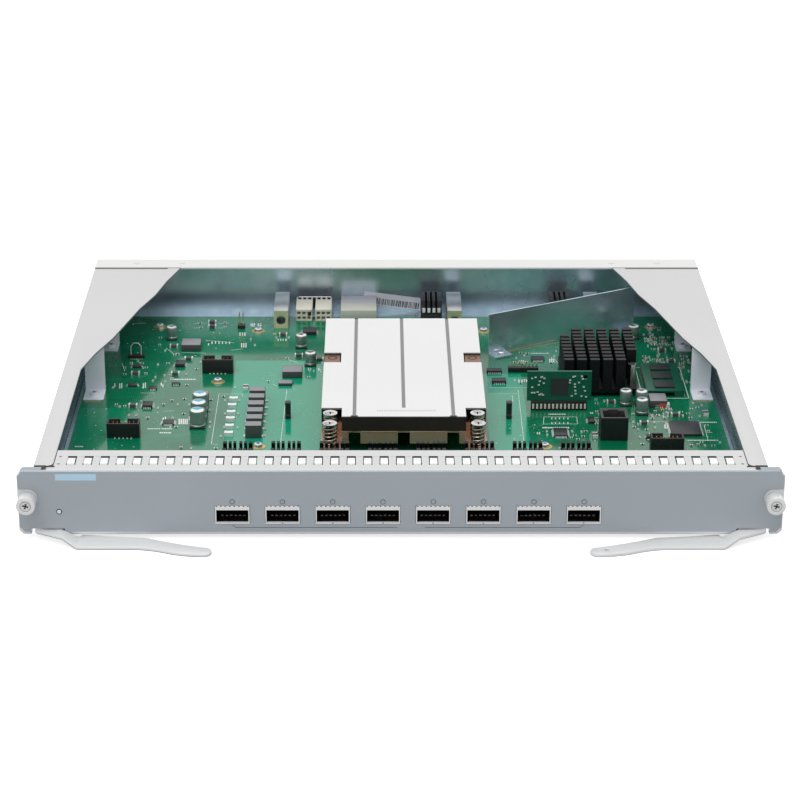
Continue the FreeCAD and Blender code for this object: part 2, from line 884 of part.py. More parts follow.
def make_tray():
    """The folded tray: floor, sides, rear wall and rear flange."""
    body = new_body()
    gauge = size.tray_sheet
    bend = size.tray_bend
    inner = bend - gauge
    section = [
        (-wall_half, cover_under),
        (-wall_half, bend, bend),
        (-wall_half + bend, 0),
        (wall_half - bend, 0, bend),
        (wall_half, bend),
        (wall_half, cover_under),
        (wall_half - gauge, cover_under),
        (wall_half - gauge, bend, -inner),
        (wall_half - bend, gauge),
        (-wall_half + bend, gauge, -inner),
        (-wall_half + gauge, bend),
        (-wall_half + gauge, cover_under),
    ]
    pad(body, "XZ_Plane", section, floor_front, size.body_end - floor_front)
    tab_inner = notch_inner + size.tray_gap
    tab_start = size.panel_sheet + size.tray_gap
    for side in (-1, 1):
        low_x = tab_inner if side > 0 else -(wall_half - bend)
        tab = rectangle(low_x, tab_start, wall_half - bend - tab_inner, floor_front - tab_start + 1)
        pad(body, "XY_Plane", tab, 0, gauge)
    pad(body, "XZ_Plane", rectangle(-wall_half, 0, 2 * wall_half, size.cover_top), rear_face, gauge)
    flange_start = size.body_end - size.rear_flange
    flange = rectangle(-body_half, flange_start, body_width, size.rear_flange)
    pad(body, "XY_Plane", flange, cover_under, size.cover_sheet)
    start = floor_front - 1
    slot = rectangle(start, floor_top, size.wall_slot_end - start, size.lever_notch_top - floor_top)
    pocket(body, "YZ_Plane", [slot], -body_half, body_width)
    margin = size.plug_window_margin
    half_power = size.power_plug_width / 2
    half_tall = size.tall_plug_width / 2
    first_plug, last_plug = place["power_plug"]
    spans = [
        (first_plug[0] - half_power, last_plug[0] + half_power),
        (across(size.wide_plug_x), across(size.wide_plug_x) + size.wide_plug_width),
    ]
    for x, _ in place["tall_plug"]:
        spans.append((x - half_tall, x + half_tall))
    windows = [(x, board_top + size.guide_hole_z, size.guide_pin_hole) for x, _ in place["guide"]]
    for low_x, high_x in spans:
        width = high_x - low_x - 2 * margin
        windows.append(rectangle(low_x + margin, size.plug_window_low, width, size.plug_window_height))
    pocket(body, "XZ_Plane", windows, rear_face - 1, gauge + 2)
    pins = [(side * pivot_x, size.pivot_y, size.pivot_tenon) for side in (-1, 1)]
    pocket(body, "XY_Plane", pins, -1, gauge + 2)
    rivet_y = size.body_end - size.rivet_inset
    for x in (body_half - size.rivet_inner_inset, body_half - size.rivet_outer_inset):
        for side in (-1, 1):
            pad(body, "XY_Plane", (side * x, rivet_y, size.rivet_radius), size.cover_top, size.rivet_height)
    keep(body, "tray")


def make_covers():
    """The two pieces that are left of the cut cover, with their wavy sawn edges."""
    inner = body_half - size.cover_strip
    back = size.body_end - size.rear_flange
    cut_end = body_half - size.cut_end_inset
    wave_count = int(size.cut_points.number)
    for side, label in ((-1, "cover_left"), (1, "cover_right")):
        outline = [
            (side * (inner + size.cover_corner), size.cover_front, -side * size.cover_corner),
            (side * inner, size.cover_front + size.cover_corner),
            (side * inner, size.cut_start),
        ]
        for number in range(1, wave_count):
            share = number / wave_count
            wave = size.cut_wave * math.sin(math.radians(number * size.cut_swing.number))
            outline.append(
                (
                    side * (inner - share * (inner - cut_end) + wave),
                    size.cut_start + share * (back - size.cut_start),
                )
            )
        outline += [
            (side * cut_end, back),
            (side * body_half, back),
            (side * body_half, size.cover_front),
        ]
        body = new_body()
        pad(body, "XY_Plane", outline, cover_under, size.cover_sheet)
        skirt_x = body_half - size.cover_sheet if side > 0 else -body_half
        skirt = rectangle(skirt_x, size.cover_top - size.cover_skirt, size.cover_sheet, size.cover_skirt)
        pad(body, "XZ_Plane", skirt, size.cover_front, back - size.cover_front)
        clear = wall_half - size.tray_sheet - size.cover_play
        lip_start = inner + size.cover_corner
        low_x = lip_start if side > 0 else -clear
        lip = rectangle(low_x, size.cover_top - size.cover_lip, clear - lip_start, size.cover_lip)
        pad(body, "XZ_Plane", lip, size.cover_front, size.cover_sheet)
        keep(body, label)


def make_rail_and_fingers():
    """The rail behind the panel's upper edge, and the strip whose domed fingers rise through it."""
    rail_half = card_half - size.ear_flange - size.rail_play
    back_of_panel = size.panel_sheet + size.rail_play / 2
    first = -finger_pitch * (size.finger_count - 1) / 2
    under = size.rail_top - size.rail_sheet
    rail = new_body()
    section = [
        (back_of_panel, size.rail_top - size.rail_leg),
        (back_of_panel + size.rail_sheet, size.rail_top - size.rail_leg),
        (back_of_panel + size.rail_sheet, under),
        (size.rail_depth, under),
        (size.rail_depth, size.rail_top),
        (back_of_panel, size.rail_top),
    ]
    pad(rail, "YZ_Plane", section, -rail_half, 2 * rail_half)
    window = rectangle(
        first - size.finger_window / 2,
        size.finger_window_start,
        size.finger_window,
        size.finger_window_depth,
    )
    opening = pocket(rail, "XY_Plane", [window], under - 1, size.rail_sheet + 2)
    repeat(rail, opening, "H_Axis", finger_pitch, size.finger_count)
    holes = []
    for side in (-1, 1):
        hole_x = side * (rail_half - size.rail_hole_inset)
        for y in (size.rail_hole_front, size.rail_hole_rear):
            holes.append((hole_x, y, size.rail_hole_radius))
    pocket(rail, "XY_Plane", holes, under - 1, size.rail_sheet + 2)
    notches = []
    clear = body_half - size.cover_strip - size.rail_notch_play
    notch_y = size.cover_front - size.rail_notch_play
    for side in (-1, 1):
        low_x = clear if side > 0 else -(rail_half + 1)
        notches.append(rectangle(low_x, notch_y, rail_half + 1 - clear, size.rail_depth + 1 - notch_y))
    pocket(rail, "XY_Plane", notches, under - 1, size.rail_sheet + 2)
    keep(rail, "front_rail")

    strip = new_body()
    play = size.finger_play
    gauge = size.finger_sheet
    low = under - gauge
    foot = size.finger_window_start + play
    hook = size.finger_window_start + size.finger_window_depth - size.finger_gap
    base = rectangle(
        first - finger_pitch / 2,
        foot - size.finger_strip_depth,
        finger_pitch * size.finger_count,
        size.finger_strip_depth + gauge,
    )
    pad(strip, "XY_Plane", base, low, gauge)
    rise = size.rail_top + size.finger_rise
    shoulder = size.rail_top + size.finger_shoulder
    slope = size.finger_slope
    steep = size.finger_foot_slope
    dome = [
        (foot, low),
        (foot + gauge, low),
        (foot + gauge + steep, shoulder - gauge / 2),
        (foot + slope + gauge / 2, rise - gauge),
        (hook - slope - gauge / 2, rise - gauge),
        (hook - steep - gauge, shoulder),
        (hook - gauge, size.rail_top - gauge),
        (hook, size.rail_top - gauge),
        (hook - steep, shoulder + gauge),
        (hook - slope, rise),
        (foot + slope, rise),
        (foot + steep, shoulder + gauge / 2),
    ]
    finger = pad(strip, "YZ_Plane", dome, first - size.finger_width / 2, size.finger_width)
    row = strip.newObject("PartDesign::LinearPattern", "Row")
    row.Originals = [finger]
    row.Direction = (finger.Profile[0], ["N_Axis"])
    bind(row, "Length", finger_pitch * (size.finger_count - 1))
    bind(row, "Occurrences", size.finger_count)
    strip.Tip = row
    keep(strip, "finger_strip")


# Board and what holds it


def make_board():
    """The main board, on its standoffs, held by screws."""
    body = new_body()
    outline = rectangle(-board_half, size.board_front, 2 * board_half, size.board_back - size.board_front)
    pad(body, "XY_Plane", outline, board_bottom, size.board_thickness)
    hole = size.screw_radius + size.screw_play
    spots = [(x, y, hole) for x, y in place["board_screw"]]
    pocket(body, "XY_Plane", spots, board_bottom - 1, size.board_thickness + 2)
    keep(body, "main_board")

    pillars = []
    screws = []
    for x, y in place["board_screw"]:
        pillar = rod(x, y, floor_top, size.standoff_radius, size.standoff_height)
        bore = rod(x, y, floor_top, size.screw_radius, size.standoff_height + 1)
        pillars.append(cut(pillar, [bore]))
        head = rod(x, y, board_top, size.screw_head_radius, size.screw_head)
        shank = rod(x, y, board_bottom - size.standoff_height / 2, size.screw_radius,
                    size.standoff_height / 2 + size.board_thickness + size.screw_head / 2)
        screws.append(joined([head, shank]))
    keep(group(pillars), "standoffs")
    keep(group(screws), "board_screws")


# Ports


def make_cage(number):
    """One module cage: a sheet box, open at the front, over its heat sink and under its socket."""
    half = size.cage_width / 2
    gauge = size.cage_sheet
    front = -size.cage_proud
    length = size.cage_length + size.cage_proud
    shell = block(-half, front, 0, size.cage_width, length, size.cage_height)
    inside = block(
        -half + gauge, front + size.bezel_depth, gauge,
        size.cage_width - 2 * gauge, length - size.bezel_depth - gauge, size.cage_height - 2 * gauge,
    )
    mouth = block(-size.mouth_width / 2, front - 1, size.mouth_low, size.mouth_width, size.bezel_depth + 2,
                  size.mouth_height)
    window = block(-size.cage_window_width / 2, size.cage_window_start, size.cage_height / 2,
                   size.cage_window_width, size.cage_window_length, size.cage_height)
    under = block(-size.socket_width / 2 - gauge, size.socket_start - gauge, -1,
                  size.socket_width + 2 * gauge, size.socket_length + 2 * gauge, gauge + 2)
    cage = cut(shell, [inside, mouth, window, under])
    keep(cage, f"port_cage_{number + 1}", port_x(number), 0, board_top)


def make_socket(number):
    """The edge connector at the back of one cage."""
    x = port_x(number) - size.socket_width / 2
    start = size.socket_start
    housing = block(x, start, board_top, size.socket_width, size.socket_length, size.socket_height)
    slot = block(port_x(number) - size.socket_slot_width / 2, start - 1,
                 board_top + size.socket_slot_z, size.socket_slot_width, size.socket_slot_depth + 1,
                 size.socket_slot_height)
    return cut(housing, [slot])


def make_port_sink(number):
    """One pin heat sink that rides on a cage, in two groups of three columns."""
    body = new_body()
    half = size.sink_width / 2
    plate = size.sink_plate
    start = size.cage_window_start
    pad(body, "XY_Plane", rectangle(-half, start, size.sink_width, size.sink_length), 0, size.sink_height)
    foot_half = size.cage_window_width / 2 - size.sink_foot_play
    play = size.sink_foot_play
    foot = rectangle(-foot_half, start + play, 2 * foot_half, size.cage_window_length - 2 * play)
    pad(body, "XY_Plane", foot, -size.sink_foot, size.sink_foot)
    pin = size.sink_pin_width
    column = pin + size.sink_column_gap
    gaps = []
    for side in (-1, 1):
        for count in (1, 2):
            low = size.sink_middle_gap / 2 + count * column - size.sink_column_gap
            low_x = low if side > 0 else -(low + size.sink_column_gap)
            gaps.append(rectangle(low_x, plate, size.sink_column_gap, size.sink_height))
    gaps.append(rectangle(-size.sink_middle_gap / 2, plate, size.sink_middle_gap, size.sink_height))
    pocket(body, "XZ_Plane", gaps, start - 1, size.sink_length + 2)
    gap = (size.sink_length - size.sink_rows * size.sink_pin_length) / (size.sink_rows - 1)
    cross = rectangle(start + size.sink_pin_length, plate, gap, size.sink_height)
    across = pocket(body, "YZ_Plane", [cross], -half - 1, size.sink_width + 2)
    repeat(body, across, "H_Axis", size.sink_pin_length + gap, size.sink_rows - 1)
    keep(body, f"port_sink_{number + 1}", port_x(number), 0, cage_top)


def make_light_pipe(number):
    """One light pipe, from its hole in the panel back, aside and down to the board."""
    x = port_x(number)
    bar = size.light_bar
    side_x = (size.port_pitch - bar) / 2
    low = size.light_height - bar / 2
    front = -size.overlay_sheet - size.light_proud
    along = rod(x, front, size.light_height, size.light_radius, size.light_back - front, "Y")
    across = block(x - bar / 2, size.light_back - bar / 2, low, side_x + bar, bar, bar)
    leg_height = low - board_top + bar / 2
    leg = block(x + side_x - bar / 2, size.light_back - bar / 2, board_top, bar, bar, leg_height)
    return joined([along, across, leg])


def make_ports():
    """All that belongs to the eight ports."""
    for number in ports():
        make_cage(number)
    keep(group([make_socket(number) for number in ports()]), "port_sockets")
    for number in ports():
        make_port_sink(number)
    pipes = [make_light_pipe(number) for number in ports()]
    front = -size.overlay_sheet - size.light_proud
    x = status_light_x
    back = size.light_back
    bar = size.light_bar
    status = rod(x, front, size.status_light_z, size.light_radius, back - front, "Y")
    leg_height = size.status_light_z - board_top + bar / 2
    leg = block(x - bar / 2, back - bar / 2, board_top, bar, bar, leg_height)
    pipes.append(joined([status, leg]))
    keep(group(pipes), "light_pipes")


# Big cooler


def cooler_outline(half):
    """The top outline of the big cooler, with its corner and side notches."""
    front = size.cooler_front
    back = size.cooler_back
    corner_x = half - size.corner_notch_width
    corner_y = front + size.corner_notch_depth
    notch_x = half - size.side_notch_depth
    notch_y = size.side_notch_start
    notch_end = notch_y + size.side_notch_length
    right = [
        (corner_x, front),
        (corner_x, corner_y),
        (half, corner_y),
        (half, notch_y),
        (notch_x, notch_y),
        (notch_x, notch_end),
        (half, notch_end),
        (half, back),
    ]
    return right + [(-x, y) for x, y in reversed(right)]


def make_cooler_fins():
    """The fin stack under its grooved top plate."""
    body = new_body()
    half = size.cooler_width / 2
    plate_low = size.cooler_top - size.cooler_plate
    length = size.cooler_back - size.cooler_front
    pad(body, "XY_Plane", cooler_outline(half), plate_low, size.cooler_plate)
    fin_height = plate_low - size.base_top
    pitch = (size.cooler_width - size.fin_thickness) / (size.fin_count - 1)
    fin = pad(
        body, "XY_Plane",
        rectangle(-half, size.cooler_front, size.fin_thickness, length),
        size.base_top, fin_height,
    )
    repeat(body, fin, "H_Axis", pitch, size.fin_count)
    cuts = []
    for side in (-1, 1):
        corner = size.corner_notch_width + 1
        low_x = half - size.corner_notch_width if side > 0 else -half - 1
        cuts.append(rectangle(low_x, size.cooler_front - 1, corner, size.corner_notch_depth + 1))
        deep = size.side_notch_depth + 1
        low_x = half - size.side_notch_depth if side > 0 else -half - 1
        cuts.append(rectangle(low_x, size.side_notch_start, deep, size.side_notch_length))
    pocket(body, "XY_Plane", cuts, size.base_top - 1, size.cooler_top)
    groove_low = size.cooler_top - size.groove_depth
    outer_start = size.cooler_front - 1
    grooves = []
    for count in (-1, 0, 1):
        start = size.middle_groove_start if count == 0 else outer_start
        low_x = count * size.groove_spacing - size.groove_width / 2
        grooves.append(rectangle(low_x, start, size.groove_width, size.cooler_back + 1 - start))
    pocket(body, "XY_Plane", grooves, groove_low, size.groove_depth + 1)
    holes = [(count * size.groove_spacing, size.cooler_front, size.groove_hole_radius) for count in (-1, 1)]
    pocket(body, "XY_Plane", holes, plate_low - 1, size.cooler_plate + 2)
    keep(body, "cooler_fins", size.cooler_x)


def screw_spots():
    """The middles of the big cooler's four sprung screws."""
    half = size.cooler_width / 2 - size.cooler_screw_inset
    front = size.ear_front + size.cooler_screw_front_inset
    rear = size.cooler_front + size.corner_notch_depth - size.cooler_screw_rear_inset
    return [(side * half, y) for side in (-1, 1) for y in (front, rear)]


def make_cooler_base():
    """The copper base, with thin ears for the screws and three slots under its front edge."""
    body = new_body()
    half = size.cooler_width / 2
    inner = half - size.corner_notch_width
    front = size.cooler_front
    ear_back = front + size.corner_notch_depth
    low = size.base_bottom
    outline = [
        (-inner, front),
        (inner, front),
        (inner, ear_back),
        (half, ear_back),
        (half, size.cooler_back),
        (-half, size.cooler_back),
        (-half, ear_back),
        (-inner, ear_back),
    ]
    pad(body, "XY_Plane", outline, low, size.base_top - low)
    ears = rectangle(-half, size.ear_front, size.cooler_width, ear_back - size.ear_front)
    pad(body, "XY_Plane", ears, low, size.base_ear)
    middle = rectangle(-inner, size.ear_front - 1, 2 * inner, front - size.ear_front + 1)
    pocket(body, "XY_Plane", [middle], low - 1, size.base_ear + 2)
    slots = [
        rectangle(
            count * size.groove_spacing - size.base_slot_width / 2, front - 1,
            size.base_slot_width, size.base_slot_depth + 1,
        )
        for count in (-1, 0, 1)
    ]
    pocket(body, "XY_Plane", slots, low - 1, size.base_top - size.base_slot_roof - low + 1)
    hole = size.cooler_screw_radius + size.screw_play
    holes = [(x, y, hole) for x, y in screw_spots()]
    pocket(body, "XY_Plane", holes, low - 1, size.base_ear + 2)
    sunk_y = size.side_notch_start + size.side_notch_length / 2
    sunk_x = half - size.sunk_screw_inset
    sunk = [(side * sunk_x, sunk_y, size.cooler_screw_radius) for side in (-1, 1)]
    pocket(body, "XY_Plane", sunk, low - 1, size.base_top)
    sunk = [(side * sunk_x, sunk_y, size.sunk_screw_radius) for side in (-1, 1)]
    pocket(body, "XY_Plane", sunk, size.base_top - size.cooler_head, size.cooler_head + 1)
    keep(body, "cooler_base", size.cooler_x)


def make_cooler_screws():
    """The sprung screws at the cooler's front corners, the sunk ones at its sides, and their springs."""
    screws = []
    springs = []
    ear_top = size.base_bottom + size.base_ear
    head_low = size.cooler_screw_top - size.cooler_head
    wire = size.cooler_spring_wire
    for x, y in screw_spots():
        head = rod(x, y, head_low, size.cooler_head_radius, size.cooler_head)
        shank = rod(x, y, board_top, size.cooler_screw_radius, head_low - board_top + size.cooler_head / 2)
        slot = size.recess_slot
        radius = size.recess_radius
        bottom = size.cooler_screw_top - size.recess_depth
        slots = [
            block(x - slot / 2, y - radius, bottom, slot, 2 * radius, size.cooler_head),
            block(x - radius, y - slot / 2, bottom, 2 * radius, slot, size.cooler_head),
        ]
        screws.append(cut(joined([head, shank]), slots))
        height = head_low - ear_top - 2 * wire
        springs.append(
            coil(x, y, ear_top + wire, size.cooler_spring_radius, wire, height, size.cooler_spring_turns)
        )
    sunk_y = size.side_notch_start + size.side_notch_length / 2
    for side in (-1, 1):
        x = side * (size.cooler_width / 2 - size.sunk_screw_inset)
        head = rod(x, sunk_y, size.base_top - size.cooler_head, size.sunk_screw_radius, size.cooler_head)
        depth = size.base_top - board_top - size.cooler_head / 2
        shank = rod(x, sunk_y, board_top, size.cooler_screw_radius, depth)
        screws.append(joined([head, shank]))
    keep(group(screws), "cooler_screws", size.cooler_x)
    keep(group(springs), "cooler_springs", size.cooler_x)


def make_covered_chips():
    """The two chips under the coolers."""
    half = size.chip_width / 2
    switch = block(size.cooler_x - half, size.chip_y - half, board_top, size.chip_width, size.chip_width,
                   size.base_bottom - board_top)
    small = size.small_chip_width
    x = across(size.pin_cooler_x) + (size.pin_cooler_width - small) / 2
    y = size.pin_cooler_y + (size.pin_cooler_depth - small) / 2
    processor = block(x, y, board_top, small, small, size.small_chip_height)
    keep(group([switch, processor]), "covered_chips")


# Black pin-fin cooler


def make_pin_cooler():
    """The black cooler: square pins cut from one block, two corners without pins for its screws."""
    body = new_body()
    low_x = across(size.pin_cooler_x)
    width = size.pin_cooler_width
    depth = size.pin_cooler_depth
    plate = size.pin_cooler_plate
    height = size.pin_cooler_height - size.small_chip_height
    pad(body, "XY_Plane", rectangle(0, 0, width, depth), 0, height)
    column_gap = size.pin_column_gap
    pin_x = (width - column_gap * (size.pin_columns - 1)) / size.pin_columns
    row_gap = size.pin_row_gap
    pin_y = (depth - row_gap * (size.pin_rows - 1)) / size.pin_rows
    along = pocket(body, "XZ_Plane", [rectangle(pin_x, plate, column_gap, height)], -1, depth + 2)
    repeat(body, along, "H_Axis", pin_x + column_gap, size.pin_columns - 1)
    rows = pocket(body, "YZ_Plane", [rectangle(pin_y, plate, row_gap, height)], -1, width + 2)
    repeat(body, rows, "H_Axis", pin_y + row_gap, size.pin_rows - 1)
    corner_x = pin_x + column_gap
    corner_y = 2 * (pin_y + row_gap)
    corners = [
        rectangle(-1, depth - corner_y, corner_x + 1 - column_gap / 2, corner_y + 1),
        rectangle(width - corner_x + column_gap / 2, -1, corner_x + 1, corner_y + 1 + pin_y + row_gap),
    ]
    pocket(body, "XY_Plane", corners, plate, height)
    inset = size.pin_screw_inset
    hole = size.pin_screw_radius + size.screw_play
    holes = [(inset, depth - inset, hole), (width - inset, inset + pin_y + row_gap, hole)]
    pocket(body, "XY_Plane", holes, -1, plate + 2)
    keep(body, "pin_cooler", low_x, size.pin_cooler_y, board_top + size.small_chip_height)

    screws = []
    for x, y, _ in holes:
        x = low_x + x
        y = size.pin_cooler_y + y
        seat = board_top + size.small_chip_height + plate
        head = rod(x, y, seat, size.pin_screw_head_radius, size.pin_screw_height)
        shank = rod(x, y, board_top, size.pin_screw_radius, seat - board_top + 1)
        screws.append(joined([head, shank]))
    keep(group(screws), "pin_cooler_screws")


# Baffle and brackets


def make_air_baffle():
    """The standing sheet that steers the air, with a foot at each end, up to the board screw behind it."""
    gauge = size.baffle_sheet
    width = size.baffle_foot_width
    end_screw_x = place["board_screw"][-1][0]
    length = slanted(end_screw_x - across(size.baffle_x) - size.baffle_end_gap, size.baffle_angle)
    wall = block(0, 0, 0, length, gauge, size.baffle_height)
    feet = [
        block(start, -size.baffle_foot, 0, width, size.baffle_foot + gauge / 2, gauge)
        for start in (0, length - width)
    ]
    baffle = joined([wall] + feet)
    baffle.Placement = FreeCAD.Placement(FreeCAD.Vector(), FreeCAD.Rotation(FreeCAD.Vector(0, 0, 1), 1))
    bind(baffle, "Placement.Rotation.Angle", size.baffle_angle)
    keep(baffle, "air_baffle", across(size.baffle_x), size.baffle_y, board_top)


def make_bracket_pair(label, inset, width, y, foot):
    """A pair of angle brackets between the board and the cover."""
    brackets = []
    gauge = size.bracket_sheet
    for side in (-1, 1):
        low_x = board_half - inset if side > 0 else inset - width - board_half
        plate = block(low_x, y, board_top, width, gauge, cover_under - board_top - size.cover_play)
        base = block(low_x, y - foot, board_top, width, foot + gauge / 2, gauge)
        screw = rod(low_x + width / 2, y - foot / 2, board_top + gauge / 2, size.screw_head_radius,
                    size.screw_head)
        brackets.append(joined([plate, base, screw]))
    keep(group(brackets), label)


# Plug-in boards


def make_riser():
    """The small board that stands in its socket on the main board."""
    riser_x = across(size.riser_x)
    low = board_top + size.riser_socket_height
    high = board_top + size.riser_top
    board = block(riser_x, size.riser_y, low, size.riser_width, size.riser_thickness, high - low)
    hole_x = riser_x + size.riser_width - size.riser_hole_inset
    hole = rod(hole_x, size.riser_y - 1, high - size.riser_hole_inset, size.riser_hole_radius,
               size.riser_thickness + 2, "Y")
    wide = size.riser_chip
    proud = size.memory_chip_height
    chip = block(riser_x + (size.riser_width - wide) / 2, size.riser_y - proud, (low + high - wide) / 2,
                 wide, proud, wide)
    keep(group([cut(board, [hole]), chip]), "riser_board")

    depth = size.riser_socket_depth
    strip_width = size.pin_pitch * size.riser_pin_count
    x = riser_x + (size.riser_width - strip_width) / 2
    y = size.riser_y + (size.riser_thickness - depth) / 2
    housing = block(x, y, board_top, strip_width, depth, size.riser_socket_height)
    pins = []
    for number in range(int(size.riser_pin_count.number)):
        pin_x = x + size.pin_pitch * (number + 0.5) - size.pin_width / 2
        pins.append(block(pin_x, y - size.pin_width, board_top, size.pin_width, size.pin_width * 2,
                          size.riser_pin_height))
    keep(joined([housing] + pins), "riser_socket")


def make_memory_board():
    """The flat board beside the black cooler, on two strips, with three chips."""
    x = across(size.memory_x)
    y = size.memory_y
    low = board_top + size.memory_lift
    width = size.memory_width
    depth = size.memory_depth
    board = block(x, y, low, width, depth, size.memory_thickness)
    strip = size.memory_strip
    strips = [block(low_x, y, board_top, strip, depth, size.memory_lift) for low_x in (x, x + width - strip)]
    top = low + size.memory_thickness
    chip_x = x + (width - size.memory_chip_width) / 2
    last = int(size.memory_chip_count.number) - 1
    first_y = y + (depth - size.memory_chip_pitch * last - size.memory_chip_depth) / 2
    memory = [
        block(chip_x, first_y + size.memory_chip_pitch * count, top, size.memory_chip_width,
              size.memory_chip_depth, size.memory_chip_height)
        for count in range(last + 1)
    ]
    keep(joined([board] + strips + memory), "memory_board")


# Connectors on the board


def make_box_headers():
    """Keyed boxes with two rows of pins."""
    headers = []
    wall = size.box_header_wall
    width = size.box_header_width
    depth = size.box_header_depth
    floor = size.box_header_floor
    for x, y in place["box_header"]:
        low_x = x - width / 2
        low_y = y - depth / 2
        shell = block(low_x, low_y, board_top, width, depth, size.box_header_height)
        cavity = block(low_x + wall, low_y + wall, board_top + floor, width - 2 * wall, depth - 2 * wall,
                       size.box_header_height)
        key = block(x - size.box_header_key / 2, low_y + depth - wall - 1, board_top + floor,
                    size.box_header_key, wall + 2, size.box_header_height)
        box = cut(shell, [cavity, key])
        pins = []
        count = int(size.box_header_pins.number)
        for column in range(count):
            for row in (-1, 1):
                pin_x = x + size.pin_pitch * (column - (count - 1) / 2) - size.pin_width / 2
                pin_y = y + row * size.pin_pitch / 2 - size.pin_width / 2
                pins.append(block(pin_x, pin_y, board_top + floor / 2, size.pin_width, size.pin_width,
                                  size.box_header_height - floor / 2 - wall))
        headers.append(joined([box] + pins))
    keep(group(headers), "box_headers")


def make_clips():
    """Open pin headers with their black clips."""
    clips = []
    for x, y in place["clip"]:
        low_x = x - size.clip_width / 2
        low_y = y - size.clip_depth / 2
        body = block(low_x, low_y, board_top, size.clip_width, size.clip_depth, size.clip_height)
        waist = block(low_x - 1, low_y - 1, board_top + size.clip_waist_low, size.clip_width + 2,
                      size.clip_waist + 1, size.clip_waist_height)
        clips.append(cut(body, [waist]))
    keep(group(clips), "jumper_headers")


def make_service_jack():
    """The upright jack, open at its top."""
    wall = size.jack_wall
    width = size.jack_width
    depth = size.jack_depth
    x = across(size.jack_x)
    shell = block(x, size.jack_y, board_top, width, depth, size.jack_height)
    cavity = block(x + wall, size.jack_y + wall, board_top + size.jack_floor, width - 2 * wall,
                   depth - 2 * wall - wall, size.jack_height)
    key = block(x + (width - size.jack_key_width) / 2, size.jack_y + wall,
                board_top + size.jack_floor, size.jack_key_width, depth - 2 * wall, size.jack_height)
    keep(cut(shell, [cavity, key]), "service_jack")


# Small parts


def make_small_parts():
    """Cans, coils and chips on the board."""
    keep(group([
        joined([
            rod(x, y, board_top, radius, height),
            block(x - radius, y - radius, board_top, 2 * radius, 2 * radius, size.capacitor_base),
        ])
        for x, y, radius, height in cans
    ]), "capacitors")
    coils = [
        block(x - width / 2, y - depth / 2, board_top, width, depth, height)
        for x, y, width, depth, height in inductors
    ]
    for number in range(int(size.coil_count.number)):
        y = size.coil_y + size.coil_pitch * number
        coils.append(
            block(across(size.coil_x), y, board_top, size.coil_width, size.coil_depth, size.coil_height)
        )
    keep(group(coils), "power_inductors")
    keep(group([
        block(x - width / 2, y - depth / 2, board_top, width, depth, height)
        for x, y, width, depth, height in chips
    ]), "board_chips")


# Backplane side


def make_guides_and_plugs():
    """Guide blocks and the plugs that meet the backplane."""
    blocks = []
    for x, y in place["guide"]:
        body = block(x - size.guide_width / 2, y - size.guide_length / 2, board_top, size.guide_width,
                     size.guide_length, size.guide_height)
        for_pin = rod(x, y - size.guide_length / 2 - 1, board_top + size.guide_hole_z,
                      size.guide_hole_radius, size.guide_length + 2, "Y")
        blocks.append(cut(body, [for_pin]))
    keep(group(blocks), "guide_blocks")

    plugs = []
    for x, y in place["power_plug"]:
        width = size.power_plug_width
        length = size.power_plug_length
        body = block(x - width / 2, y - length / 2, board_top, width, length, size.power_plug_height)
        hole = size.power_plug_hole
        notch = size.power_plug_notch_depth
        tools = []
        for column in (-1, 0, 1):
            hole_x = x + column * size.power_plug_pitch - hole / 2
            for row in (0, 1):
                hole_z = board_top + size.power_plug_floor + row * size.power_plug_pitch
                tools.append(
                    block(hole_x, y - length / 2 - 1, hole_z, hole, size.power_plug_hole_depth + 1, hole)
                )
            tools.append(
                block(hole_x, y + length / 2 - notch, board_top + size.power_plug_height / 2, hole,
                      notch + 1, size.power_plug_height)
            )
        plugs.append(cut(body, tools))
    keep(group(plugs), "power_plugs")

    signals = [
        block(across(size.wide_plug_x), size.plug_y, board_top, size.wide_plug_width, size.wide_plug_length,
              size.wide_plug_height)
    ]
    slot_count = int(size.tall_plug_slots.number)
    for x, y in place["tall_plug"]:
        width = size.tall_plug_width
        length = size.tall_plug_length
        tall = size.tall_plug_height
        step = size.tall_plug_step
        body = block(x - width / 2, y - length / 2, board_top, width, length, tall)
        front = y - length / 2 - 1
        shelf = block(x - width / 2 - 1, front, board_top + tall - step, width + 2,
                      size.tall_plug_shelf + 1, tall)
        first_x = x - size.tall_plug_pitch * (slot_count - 1) / 2 - size.tall_plug_slot / 2
        slots = [
            block(first_x + count * size.tall_plug_pitch, front, board_top + size.tall_plug_slot_low,
                  size.tall_plug_slot, length + 2, tall)
            for count in range(slot_count)
        ]
        signals.append(cut(body, [shelf] + slots))
    keep(group(signals), "signal_plugs")


# Ejector levers


